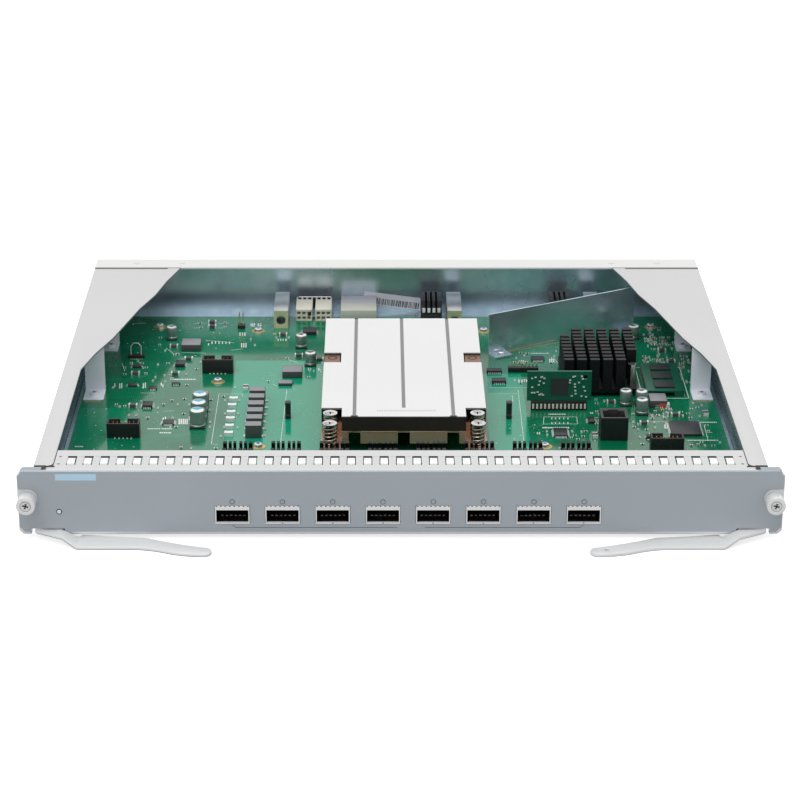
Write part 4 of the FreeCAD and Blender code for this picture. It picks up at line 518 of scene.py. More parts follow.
def photo_spot(x, y, height=BOARD_TOP):
    """The place, in card millimetres, that a pixel of the photo shows on a level plane."""
    sideways = (x - PRINCIPAL[0]) / FOCAL_PIXELS
    upward = (PRINCIPAL[1] - y) / FOCAL_PIXELS
    ahead = math.cos(CAMERA_TILT) + upward * math.sin(CAMERA_TILT)
    fall = math.sin(CAMERA_TILT) - upward * math.cos(CAMERA_TILT)
    start = CAMERA_PLACE / MM - CARD_SHIFT
    reach = (start.z - height) / fall
    return start.x + sideways * reach, start.y + ahead * reach


def enlarged(left, top, factor):
    """Turns a place read on an enlarged part of the photo into a place on the board."""
    return lambda x, y, height=BOARD_TOP: photo_spot(left + x / factor, top + y / factor, height)


left_view = enlarged(75, 255, 6.03)
right_view = enlarged(480, 255, 5.917)
VIEWS = {"left": left_view, "right": right_view}


def clear_selection():
    """Leave edit mode and select nothing."""
    if bpy.context.object and bpy.context.object.mode != "OBJECT":
        bpy.ops.object.mode_set(mode="OBJECT")
    bpy.ops.object.select_all(action="DESELECT")


def pick(*pieces):
    """Select pieces and make the first one active."""
    clear_selection()
    for piece in pieces:
        piece.select_set(True)
    bpy.context.view_layer.objects.active = pieces[0]
    return pieces[0]


def dress(piece, finish):
    """Give a piece one finish."""
    piece.data.materials.clear()
    piece.data.materials.append(FINISH[finish])
    return piece


def apply_modifier(piece, kind, **values):
    """Add a modifier with its settings and apply it."""
    pick(piece)
    modifier = piece.modifiers.new(kind.title(), kind)
    for name, value in values.items():
        setattr(modifier, name, value)
    bpy.ops.object.modifier_apply(modifier=modifier.name)
    return piece


def bevel(piece, width):
    """Ease the sharp edges of a piece by a width in millimetres."""
    return apply_modifier(
        piece, "BEVEL", width=width * MM, segments=2, limit_method="ANGLE", angle_limit=math.radians(35)
    )


def laid(piece, place, turn=(0, 0, 0)):
    """Turn and move a piece, and write both into its mesh."""
    piece.rotation_euler = turn
    piece.location = place
    pick(piece)
    bpy.ops.object.transform_apply(location=True, rotation=True, scale=True)
    return piece


def block(finish, size, place=(0, 0, 0), edge=0.0, turn=0.0):
    """A block by its size and the middle of its base, with eased edges where they can be seen."""
    clear_selection()
    middle = Vector(place) + Vector((0, 0, size[2] / 2))
    bpy.ops.mesh.primitive_cube_add(size=1, location=middle * MM, rotation=(0, 0, math.radians(turn)))
    piece = bpy.context.object
    piece.scale = Vector(size) * MM
    bpy.ops.object.transform_apply(location=True, rotation=True, scale=True)
    dress(piece, finish)
    return bevel(piece, edge) if edge else piece


def turned(finish, profile, place=(0, 0, 0), steps=24, angle=360.0, axis="Z", start=0.0):
    """A turned piece: radius and height pairs spun round an axis through its place."""
    clear_selection()
    mesh = bpy.data.meshes.new("turned")
    mesh.from_pydata(
        [(radius * MM, 0, height * MM) for radius, height in profile],
        [(number, number + 1) for number in range(len(profile) - 1)],
        [],
    )
    piece = bpy.data.objects.new("turned", mesh)
    bpy.context.scene.collection.objects.link(piece)
    pick(piece)
    bpy.ops.object.mode_set(mode="EDIT")
    bpy.ops.mesh.select_all(action="SELECT")
    bpy.ops.mesh.spin(steps=steps, angle=math.radians(angle), center=(0, 0, 0), axis=(0, 0, 1))
    bpy.ops.mesh.select_all(action="SELECT")
    bpy.ops.mesh.remove_doubles(threshold=0.000001)
    bpy.ops.mesh.normals_make_consistent(inside=False)
    bpy.ops.object.mode_set(mode="OBJECT")
    bpy.ops.object.shade_smooth_by_angle(angle=math.radians(35))
    laid(piece, Vector(place) * MM, (math.radians(-90) if axis == "Y" else 0, 0, math.radians(start)))
    return dress(piece, finish)


def fused(*pieces):
    """Several pieces as one, which keeps each one's finish."""
    pick(*pieces)
    bpy.ops.object.join()
    return bpy.context.object


def copies(pattern, places):
    """Copies of a pattern at places given as x, y, z and a turn, each with its own mesh, as one piece."""
    made = []
    for place in places:
        copy = pattern.copy()
        copy.data = pattern.data.copy()
        bpy.context.scene.collection.objects.link(copy)
        copy.location = at(*place[:3])
        copy.rotation_euler = (0, 0, math.radians(place[3] if len(place) > 3 else 0))
        made.append(copy)
    bpy.data.objects.remove(pattern)
    fused(*made)
    bpy.ops.object.transform_apply(location=True, rotation=True, scale=True)
    return bpy.context.object


def finished(piece, name, body="card", replaced=(), slot=None):
    """Name a piece that is done, and let it ride on its body."""
    piece.name = name
    piece.data.name = name
    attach(piece, body)
    if replaced:
        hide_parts(*replaced)
    return piece


def scattered(name, places, slot, finish, size, edge=0.0):
    """Copies of a small block at places on the card, as one finished piece."""
    return finished(copies(block(finish, size, edge=edge), places), name, slot=slot)


def eased_copy(node, width, finish, body="card", other=None):
    """A copy of a CAD node with its triangles merged and its edges eased, in place of the node.

    Another finish can be given for the faces whose normal's Z lies between two limits.
    """
    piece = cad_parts[node].copy()
    piece.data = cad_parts[node].data.copy()
    for key in list(piece.keys()):
        if key.startswith("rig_"):
            del piece[key]
    piece.parent = None
    bpy.context.scene.collection.objects.link(piece)
    pick(piece)
    bpy.ops.object.mode_set(mode="EDIT")
    bpy.ops.mesh.select_all(action="SELECT")
    bpy.ops.mesh.remove_doubles(threshold=0.00001)
    bpy.ops.mesh.dissolve_limited(angle_limit=math.radians(2))
    bpy.ops.object.mode_set(mode="OBJECT")
    dress(piece, finish)
    bevel(piece, width)
    bpy.ops.object.shade_smooth_by_angle(angle=math.radians(30))
    if other:
        other_finish, low, high = other
        piece.data.materials.append(FINISH[other_finish])
        for face in piece.data.polygons:
            if low < face.normal.z < high:
                face.material_index = 1
    return finished(piece, f"{node}_eased", body, (node,))


# Small parts of the board


def chip_part(length, width, height, body, cap=0.28, end="tin"):
    """A surface part: a body between two plated ends on bright solder."""
    middle = block(body, (length * (1 - 2 * cap * 0.8), width, height))
    ends = [
        block(end, (length * cap, width * 1.04, height * 1.06), (side * length * (0.5 - cap / 2), 0, 0))
        for side in (-1, 1)
    ]
    return fused(middle, *ends)


def leg(out, width, height):
    """One bent leg that points along +X."""
    flat = block("tin", (out * 0.55, width, 0.18), (out * 0.72, 0, 0))
    rise = block("tin", (0.2, width, height * 0.55), (out * 0.42, 0, 0))
    top = block("tin", (out * 0.5, width, 0.18), (out * 0.22, 0, height * 0.5))
    return fused(flat, rise, top)


def leg_places(x, y, width, depth, pitch, sides):
    """Where the legs of a chip stand along its sides, with their turns."""
    places = []
    for side in sides:
        span = depth if side in "EW" else width
        count = int((span - 1.0) / pitch)
        for number in range(count):
            along = (number - (count - 1) / 2) * pitch
            if side in "EW":
                sign = 1 if side == "E" else -1
                places.append((x + sign * width / 2, y + along, BOARD_TOP, 0 if side == "E" else 180))
            else:
                sign = 1 if side == "N" else -1
                places.append((x + along, y + sign * depth / 2, BOARD_TOP, 90 if side == "N" else -90))
    return places


# Chips with legs: X, Y, width, depth and the legs' pitch in millimetres, and the sides they stand on.
CHIPS = [
    (179.5, 137.5, 19, 21, 0.9, "EW"), (-144.8, 247.2, 6.4, 7.5, 1.27, "EW"),
    (-159.6, 205.5, 5.2, 4.6, 1.0, "NS"), (-160.7, 176, 6.2, 7.2, 1.0, "NSEW"),
    (-145.2, 148, 7, 7, 0.8, "NSEW"), (-173.3, 243.5, 6, 3, 1.0, "EW"), (-173.4, 211, 6, 4.3, 1.0, "EW"),
    (-145.2, 213.4, 5.6, 3, 1.0, "NS"), (-60, 308, 9.4, 9, 1.27, "EW"), (101, 131.3, 8.4, 12, 0.8, "NSEW"),
    (94.2, 257.5, 8.8, 6.4, 0.9, "NS"), (156.8, 125, 5.7, 4, 1.27, "EW"), (121.8, 151, 4.2, 8, 1.27, "EW"),
    (64.1, 235, 10, 5, 1.27, "NS"), (66.4, 217, 9.2, 6, 1.27, "NS"),
]


def make_legs():
    """Bent legs along the chips' sides."""
    places = []
    for chip in CHIPS:
        places += leg_places(*chip)
    finished(copies(leg(1.3, 0.42, 1.3), places), "chip_legs", slot="screw_steel")


# Places of small parts, read on enlarged parts of the photo: x, y and the turn in degrees.
LEFT_RESISTORS = [
    (300, 682, 0), (430, 680, 0), (300, 720, 0), (428, 718, 0), (500, 662, 90), (560, 655, 0),
    (540, 730, 90), (672, 720, 90), (545, 765, 90), (585, 748, 0), (675, 785, 0), (515, 500, 0),
    (510, 545, 0), (545, 578, 90), (620, 598, 0), (600, 605, 0), (757, 648, 90), (733, 690, 0),
    (300, 915, 0), (270, 915, 90), (500, 925, 90), (535, 905, 0), (325, 968, 90), (370, 968, 90),
    (440, 985, 0), (590, 985, 90), (610, 1040, 0), (575, 1045, 90), (1215, 500, 90), (1290, 500, 90),
    (1205, 480, 0), (1080, 430, 90), (1120, 425, 90), (905, 412, 0), (755, 412, 0), (760, 440, 0),
    (905, 438, 0), (965, 800, 90), (895, 855, 0), (1165, 765, 0), (905, 880, 90), (905, 960, 90),
    (900, 1045, 90), (880, 1095, 90), (990, 880, 90), (985, 962, 90), (980, 1045, 90), (1160, 880, 90),
    (1160, 925, 90), (1155, 965, 90), (1150, 1010, 90), (1148, 1050, 90), (1146, 1092, 90), (820, 875, 0),
    (812, 940, 90), (815, 1010, 90), (812, 1040, 90), (640, 1165, 0), (700, 1168, 90), (850, 1168, 0),
    (1480, 700, 90), (1440, 700, 90), (1415, 700, 90), (1410, 740, 0), (1490, 655, 90), (1280, 625, 0),
    (1060, 512, 90), (1085, 545, 90), (470, 760, 90), (485, 740, 90), (380, 640, 90), (405, 655, 0),
    (340, 655, 0), (660, 870, 0), (690, 905, 90), (585, 880, 0), (620, 905, 90), (655, 960, 0),
    (250, 905, 0), (230, 800, 90),
]
RIGHT_RESISTORS = [
    (240, 580, 0), (262, 600, 90), (280, 585, 0), (215, 612, 90), (235, 640, 0), (400, 585, 90),
    (420, 640, 0), (450, 575, 90), (440, 600, 90), (205, 745, 90), (265, 745, 90), (240, 760, 0),
    (290, 730, 90), (685, 858, 0), (690, 880, 0), (735, 865, 90), (690, 930, 0), (705, 945, 90),
    (665, 990, 90), (705, 985, 0), (690, 1000, 0), (395, 1045, 90), (398, 1068, 90), (545, 1045, 90),
    (560, 1070, 0), (600, 1050, 90), (610, 1075, 0), (625, 1045, 0), (540, 1085, 0), (580, 1092, 0),
    (700, 1052, 0), (905, 945, 0), (905, 990, 90), (912, 1020, 0), (935, 1005, 90), (935, 1035, 90),
    (985, 1035, 0), (1030, 995, 90), (1035, 1025, 90), (1060, 950, 90), (1085, 945, 90), (1110, 955, 90),
    (1190, 930, 0), (1200, 955, 90), (1230, 940, 0), (1245, 965, 0), (1260, 880, 90), (1285, 905, 0),
    (1310, 890, 90), (1250, 915, 0), (1300, 955, 90), (1100, 1000, 90), (1105, 1030, 90), (1010, 1060, 0),
    (945, 1080, 90), (1000, 1100, 0), (960, 1120, 0), (1340, 1010, 0), (1350, 1045, 0), (1310, 1110, 0),
    (1330, 1130, 90), (1290, 1125, 0), (1380, 1130, 0), (1420, 1110, 90), (1250, 1130, 0),
]
# Fields of small parts: two corners and how many parts.
DENSE_FIELDS = [
    ((965, 480), (1160, 560), 44), ((960, 590), (1150, 650), 30), ((1180, 600), (1240, 760), 22),
    ((960, 430), (1060, 480), 12), ((1010, 905), (1150, 975), 16), ((200, 630), (280, 655), 6),
]
# The enlarged part, x, y and the turn in degrees.
DARK_PARTS = [
    ("left", 828, 412, 0), ("left", 828, 438, 0), ("left", 597, 556, 0), ("left", 365, 720, 0),
    ("left", 605, 722, 0), ("left", 686, 632, 0), ("left", 350, 915, 0), ("left", 1030, 806, 90),
    ("left", 1350, 612, 0), ("left", 1475, 636, 0), ("left", 1255, 487, 0), ("left", 1415, 462, 0),
    ("right", 970, 1000, 0), ("right", 1155, 950, 0), ("right", 1335, 945, 90), ("right", 1075, 572, 0),
    ("right", 1130, 636, 0), ("right", 775, 875, 0), ("right", 680, 1075, 90),
]
BRIGHT_PARTS = [(957, 880), (948, 920), (942, 962), (937, 1000), (932, 1045), (927, 1088)]


def on_board(view, spots):
    """Places on the board's face, with their turns, from places in the photo."""
    return [(*view(x, y), BOARD_TOP, turn) for x, y, turn in spots]


def make_small_parts():
    """Resistors, ceramic capacitors, and the larger dark and bright parts among them."""
    resistors = on_board(left_view, LEFT_RESISTORS) + on_board(right_view, RIGHT_RESISTORS)
    chance = random.Random(7)
    ceramics = []
    for low, high, count in DENSE_FIELDS:
        for _ in range(count):
            x = chance.uniform(low[0], high[0])
            y = chance.uniform(low[1], high[1])
            spot = (*right_view(x, y), BOARD_TOP, chance.choice((0, 90)))
            (ceramics if chance.random() < 0.5 else resistors).append(spot)
    for number, spot in enumerate(list(resistors)):
        if number % 3 == 0:
            resistors.remove(spot)
            ceramics.append(spot)
    finished(copies(chip_part(2.2, 1.25, 0.55, "chip"), resistors), "chip_resistors", slot="chip_black")
    finished(copies(chip_part(1.8, 1.1, 0.9, "ceramic"), ceramics), "chip_capacitors", slot="screw_steel")
    dark = [(*VIEWS[side](x, y), BOARD_TOP, turn) for side, x, y, turn in DARK_PARTS]
    finished(copies(chip_part(5.6, 3.2, 1.9, "coil", 0.16), dark), "dark_parts", slot="coil_grey")
    bright = [(*left_view(x, y), BOARD_TOP, 0) for x, y in BRIGHT_PARTS]
    finished(copies(chip_part(5.4, 3.4, 2.4, "tin", 0.3, "tin"), bright), "bright_parts", slot="screw_steel")


# Marks on the board: bars and frames in white ink, pads and rings of metal


def settled(piece, name, **given):
    """Finish a piece that was drawn in card millimetres, after moving it into the row's frame."""
    return finished(laid(piece, piece.location + CARD_SHIFT * MM), name, **given)


def stroke(finish, first, last, width, height=0.05):
    """A thin bar from one place on the board to another."""
    (x, y), (end_x, end_y) = first, last
    length = math.hypot(end_x - x, end_y - y)
    turn = math.degrees(math.atan2(end_y - y, end_x - x))
    return block(finish, (length, width, height), ((x + end_x) / 2, (y + end_y) / 2, BOARD_TOP), 0, turn)


# Read on the enlarged parts too: lines by their two ends, pads by x, y and height.
LEFT_LINES = [
    ((868, 838), (1008, 838)), ((1008, 838), (1012, 852)), ((868, 838), (822, 1140)),
    ((822, 1140), (860, 1143)), ((1278, 812), (1240, 1128)), ((795, 515), (960, 530)),
    ((548, 560), (600, 600)), ((720, 412), (790, 412)), ((860, 412), (930, 412)), ((712, 440), (770, 440)),
    ((860, 440), (905, 440)), ((345, 415), (430, 410)), ((1195, 780), (1215, 790)),
    ((1280, 628), (1345, 652)), ((330, 628), (412, 628)), ((940, 575), (1010, 566)),
    ((645, 588), (790, 592)), ((285, 655), (300, 700)), ((395, 832), (480, 832)), ((530, 942), (600, 940)),
]
RIGHT_LINES = [
    ((378, 958), (572, 958)), ((572, 958), (577, 1000)), ((577, 1000), (375, 1000)),
    ((375, 1000), (378, 958)), ((45, 822), (230, 820)), ((225, 800), (262, 1128)), ((190, 830), (195, 870)),
    ((50, 785), (290, 785)), ((965, 680), (1160, 668)), ((965, 680), (995, 820)), ((1160, 668), (1212, 838)),
    ((985, 690), (1012, 815)), ((1142, 682), (1190, 832)), ((650, 962), (720, 962)),
    ((1225, 1098), (1400, 1098)), ((1345, 1050), (1375, 1050)), ((1325, 1005), (1350, 1100)),
    ((1030, 985), (1120, 985)), ((430, 600), (460, 640)), ((420, 605), (445, 640)),
]
LEFT_BARS = [
    (1005, 545, 26), (1018, 545, 26), (1031, 545, 26), (1062, 422, 18), (1072, 422, 18), (1082, 422, 18),
    (1105, 422, 18), (1118, 422, 18), (995, 478, 20), (1010, 478, 20), (1025, 478, 20), (805, 540, 14),
    (826, 530, 14), (847, 528, 14), (868, 530, 14), (889, 530, 14), (910, 530, 14), (931, 530, 14),
    (270, 790, 30), (282, 788, 30), (412, 790, 32), (424, 786, 32), (240, 785, 20), (628, 1005, 32),
    (640, 1005, 32), (652, 1005, 32), (664, 1005, 32), (676, 1005, 32), (690, 985, 22), (532, 990, 16),
    (545, 985, 16), (1235, 480, 14), (1250, 480, 14), (1265, 480, 14), (1225, 512, 12), (1240, 512, 12),
    (1255, 512, 12), (1272, 512, 12), (1408, 690, 16), (1420, 690, 16), (1470, 690, 16), (1482, 700, 16),
    (520, 780, 18), (530, 790, 18),
]
RIGHT_BARS = [
    (425, 967, 10), (447, 967, 10), (470, 967, 10), (495, 967, 10), (520, 967, 10), (425, 995, 10),
    (447, 995, 10), (470, 995, 10), (495, 995, 10), (520, 995, 10), (413, 625, 20), (424, 625, 20),
    (435, 625, 20), (1330, 945, 20), (340, 1055, 12), (352, 1055, 12), (1095, 1015, 24), (1110, 1015, 24),
    (1120, 1030, 24), (248, 745, 14), (262, 745, 14), (276, 745, 14), (655, 935, 10), (665, 935, 10),
    (678, 990, 10), (230, 745, 14),
]
# The enlarged part, x, y, length and height of each row of dashes.
WORDS = [
    ("left", 575, 750, 145, 12), ("left", 520, 1048, 60, 10), ("left", 435, 1048, 90, 8),
    ("left", 510, 1072, 60, 12), ("left", 0, 1155, 38, 8), ("right", 370, 1022, 158, 11),
    ("right", 405, 942, 100, 8), ("right", 300, 582, 100, 7), ("right", 1140, 988, 140, 8),
    ("right", 1300, 990, 100, 8), ("right", 1230, 1096, 175, 6),
]


def make_board_marks():
    """Frames, strokes, pads and rows of dashes in white ink; the rows stand for words and carry none."""
    strokes = [
        stroke("white_ink", view(*first), view(*last), 0.28)
        for view, lines in ((left_view, LEFT_LINES), (right_view, RIGHT_LINES)) for first, last in lines
    ]
    settled(fused(*strokes), "board_lines")
    pads = [
        stroke("tin", view(x, y + height / 2), view(x, y - height / 2), 0.75, 0.12)
        for view, bars in ((left_view, LEFT_BARS), (right_view, RIGHT_BARS)) for x, y, height in bars
    ]
    settled(fused(*pads), "board_pads", slot="screw_steel")
    dashes = []
    chance = random.Random(3)
    for side, x, y, length, height in WORDS:
        view = VIEWS[side]
        along = x
        while along < x + length:
            wide = chance.uniform(7, 14)
            place = view(along, y)
            far = view(along + wide - 3, y)
            dashes.append(stroke("white_ink", place, far, height * 0.16))
            along += wide
    settled(fused(*dashes), "board_dashes")


# Places on the board in card millimetres. Cans are X, Y, radius and height.
BOARD_SCREWS = [(-164, 319), (-95.5, 311), (-118, 218), (-87, 111), (90, 111), (60, 311), (176, 319)]
HEADERS = [(-119, 236.5), (-171.5, 128.5), (164.5, 105.5)]
CANS = [
    (-126.4, 143, 5, 11.5), (-126.4, 156.5, 5, 11.5), (-126.4, 170, 5, 11.5), (146, 179, 4, 10),
    (156, 178, 4, 10), (155, 164, 4, 10), (-154, 296.5, 3.75, 9), (-65, 281, 4, 9), (-58, 248, 4, 9),
    (162, 298, 4, 9),
]
TEST_POINT_FIELDS = [
    ((-195, 105), (-150, 235), 14), ((60, 105), (195, 160), 26), ((-190, 235), (-120, 325), 16),
]


def make_board_rings():
    """Gold landing rings round the board's screws, and scattered test points."""
    ring = turned("gold_edge", [(2.6, 0), (4.6, 0), (4.6, 0.16), (2.6, 0.16)], steps=20)
    places = [(x, y, BOARD_TOP) for x, y in BOARD_SCREWS]
    finished(copies(ring, places), "screw_landings", slot="board_green")
    point = turned("tin", [(0, 0.1), (0.42, 0.1), (0.46, 0)], steps=8)
    chance = random.Random(11)
    spots = []
    for low, high, count in TEST_POINT_FIELDS:
        for _ in range(count):
            spots.append((chance.uniform(low[0], high[0]), chance.uniform(low[1], high[1]), BOARD_TOP))
    finished(copies(point, spots), "test_points", slot="screw_steel")


# Screws, cans, headers and coolers


def pan_head(radius, height, dome):
    """A screw's head with a domed top and a cross recess drawn as painted shade."""
    profile = [
        (0, height), (radius * 0.55, height), (radius * 0.85, height - dome * 0.5), (radius, height - dome),
        (radius, 0), (0, 0),
    ]
    # Painted shade: dark bars stand for the cross recess.
    size, place = (radius, radius * 0.22, 0.06), (0, 0, height - 0.02)
    bars = [block("print_and_shade_grey", size, place, 0, turn) for turn in (0, 90)]
    return fused(turned("screw", profile), *bars)


def make_board_screws():
    """The board's screws: a bright drum, a pale brim and a well tinted violet as painted reflection."""
    places = [(x, y, BOARD_TOP) for x, y in BOARD_SCREWS]
    drum = turned("screw", [(2.62, 0), (2.62, 1.5), (2.5, 1.9)])
    brim = turned("pale_plastic", [(2.5, 1.9), (2.1, 2.3), (1.4, 2.46), (1.25, 2.46)])
    # Painted reflection: the well is tinted violet.
    well = turned("violet_reflection", [(1.25, 2.46), (1.15, 2.35), (0, 2.3)])
    heads = copies(fused(drum, brim, well), places)
    finished(heads, "board_screw_heads", replaced=("board_screws",), slot="screw_steel")


def make_cans():
    """Round capacitors: a seamed can on its base, a vented top, and a sector on the top, cyan on three cans
    and grey on the rest.
    """
    pieces = []
    for number, (x, y, radius, height) in enumerate(CANS):
        spot = (x, y, BOARD_TOP)
        sleeve, seam = radius * 0.985, radius * 0.9
        profile = [
            (radius * 0.8, height - 0.35), (radius * 0.94, height), (sleeve, height - 0.3), (sleeve, 3.2),
            (seam, 2.7), (seam, 2.3), (sleeve, 1.9), (sleeve, 1.2), (0, 1.2),
        ]
        can = turned("can", profile, spot, 28)
        top = turned("can_top", [(0, height - 0.4), (radius * 0.82, height - 0.35)], spot, 28)
        base = block("black_plastic", (radius * 1.98, radius * 1.98, 1.25), spot, 0.35)
        shade = "cyan" if number < 3 else "print_and_shade_grey"
        profile = [(0, height - 0.37), (radius * 0.41, height - 0.35), (radius * 0.82, height - 0.32)]
        part = turned(shade, profile, spot, 10, 110, start=150)
        pieces += [can, top, base, part]
    settled(fused(*pieces), "round_capacitors", replaced=("capacitors",), slot="can_aluminium")


def make_header_parts():
    """Gold pins and feet of the box headers, a block of long pins, a wire loop and a low header."""
    pins = []
    feet = []
    for x, y in HEADERS:
        for column in range(6):
            across = x + 2.54 * (column - 2.5)
            pins += [(across, y + row * 1.27, BOARD_TOP + 2.5) for row in (-1, 1)]
            if column < 5:
                feet.append((across + 1.27, y - 4.9, BOARD_TOP))
    scattered("header_pins", pins, "screw_steel", "gold", (0.7, 0.7, 6.25))
    scattered("header_feet", feet, "screw_steel", "tin", (0.9, 0.9, 0.5), 0.15)
    low = block("black_plastic", (5.1, 5.1, 2.5), (-107.5, 318, BOARD_TOP), 0.3)
    long = [(x, y, BOARD_TOP + 0.1) for x in (-108.77, -106.23) for y in (316.73, 319.27)]
    settled(low, "pin_block", slot="socket_black")
    scattered("long_pins", long, "screw_steel", "gold", (0.64, 0.64, 11.4), 0.15)
    x, y = left_view(370, 618)
    base = block("black_plastic", (11.5, 3.2, 2.2), (x, y, BOARD_TOP), 0.4)
    settled(base, "loop_base", slot="socket_black")
    bends = ((-3.4, 2), (-3.4, 8), (-1.6, 10.4), (1.6, 10.4), (3.4, 8), (3.4, 2))
    arch = [(x + across, y, BOARD_TOP + up) for across, up in bends]
    settled(wire("tin", arch, 0.32), "loop_wire", slot="screw_steel")
    x, y = right_view(255, 690)
    low = block("black_plastic", (20, 3.4, 3.4), (x, y, BOARD_TOP), 0.3)
    settled(low, "low_header", slot="socket_black")
    spots = [(x - 8.9 + 2.54 * count, y, BOARD_TOP + 3) for count in range(8)]
    scattered("low_header_pins", spots, "screw_steel", "gold", (0.64, 0.64, 3.2), 0.12)


def wire(finish, corners, radius):
    """A round wire bent through given corners."""
    clear_selection()
    curve = bpy.data.curves.new("wire", "CURVE")
    curve.dimensions = "3D"
    curve.bevel_depth = radius * MM
    curve.bevel_resolution = 2
    line = curve.splines.new("POLY")
    line.points.add(len(corners) - 1)
    for point, corner in zip(line.points, corners):
        point.co = (*(Vector(corner) * MM), 1)
    piece = bpy.data.objects.new("wire", curve)
    bpy.context.scene.collection.objects.link(piece)
    pick(piece)
    bpy.ops.object.convert(target="MESH")
    piece = bpy.context.object
    bpy.ops.object.shade_smooth_by_angle(angle=math.radians(40))
    return dress(piece, finish)


def make_spring(finish, x, y, low, high, radius, thick, turns):
    """A round wire spring, drawn as a helix of short straight lengths."""
    steps = 20
    corners = []
    for number in range(int(steps * turns) + 1):
        angle = math.tau * number / steps
        height = low + thick + (high - low - 2 * thick) * number / (steps * turns)
        corners.append((x + radius * math.cos(angle), y + radius * math.sin(angle), height))
    return wire(finish, corners, thick)


def make_cooler_parts():
    """On the cooler: sprung screws with a violet arc of painted reflection and cross bars of painted shade
    on their heads, a painted highlight along the base's front edge, a sheet of painted shade across the
    fins' front, brown slot sheets with a ring of painted shade, and plain bars.
    """
    springs = []
    heads = []
    for side in (-1, 1):
        for y in (89.0, 105.0):
            x = COOLER_X + side * 45.0
            springs.append(make_spring("spring", x, y, 17.0, 30.9, 3.6, 0.8, 5.0))
            profile = [(2.0, 32.3), (2.4, 32.6), (3.6, 32.55), (4.1, 31.9), (4.1, 30.8), (0, 30.8)]
            rim = turned("head_plating", profile, (x, y, 0), 32)
            well = turned("pale_plastic", [(0, 32.1), (1.7, 32.15), (2.0, 32.3)], (x, y, 0), 32)
            arc = [(2.6, 32.62), (3.1, 32.66), (3.6, 32.58)]
            # Painted reflection: a violet arc on part of each rim.
            reflection_arc = turned("violet_reflection", arc, (x, y, 0), 12, 90, start=200 - side * 60)
            # Painted shade: dark bars stand for the cross recess.
            bars = [block("recess", (4.4, 1.5, 0.4), (x, y, 32.14), 0, turn) for turn in (20, 110)]
            heads.append(fused(rim, well, reflection_arc, *bars))
    settled(fused(*springs), "sprung_wires", replaced=("cooler_springs",), slot="screw_steel")
    settled(fused(*heads), "sprung_heads", slot="screw_steel")
    # Painted highlight: a light line along the base's front edge.
    edge = []
    for low, high in ((-37.9, -34.0), (-26.4, -3.8), (3.8, 26.4), (34.0, 37.9)):
        middle = (COOLER_X + (low + high) / 2, COOLER_FRONT, 22.8)
        edge.append(block("copper_edge_highlight", (high - low, 0.3, 0.5), middle))
    settled(fused(*edge), "base_edge_highlight", slot="copper")
    # Painted shade: a dark sheet across the fins' front.
    face = block("fin_face_shade", (75.6, 0.2, 9.1), (COOLER_X, COOLER_FRONT - 0.05, 23.4))
    settled(face, "fin_front_shade", slot="fin_aluminium")
    sheets = []
    for side in (-1, 1):
        x = COOLER_X + side * 45.2
        sheets.append(block("bronze", (9.8, 13.4, 0.2), (x, 197.2, 31.3)))
        # Painted shade: a dark ring on each sheet.
        sheets.append(turned("recess", [(2.0, 0.06), (3.1, 0.06), (3.2, 0)], (x, 199.5, 31.5)))
    settled(fused(*sheets), "slot_sheets", slot="copper")
    bars = []
    for number in range(34):
        x, y = photo_spot(377.5 + 1.75 * number, 410.6, COOLER_TOP)
        bars.append(block("pale_line", (0.45, 2.6, 0.03), (x, y, COOLER_TOP)))
    settled(fused(*bars), "cooler_bars")


# Ports and panel


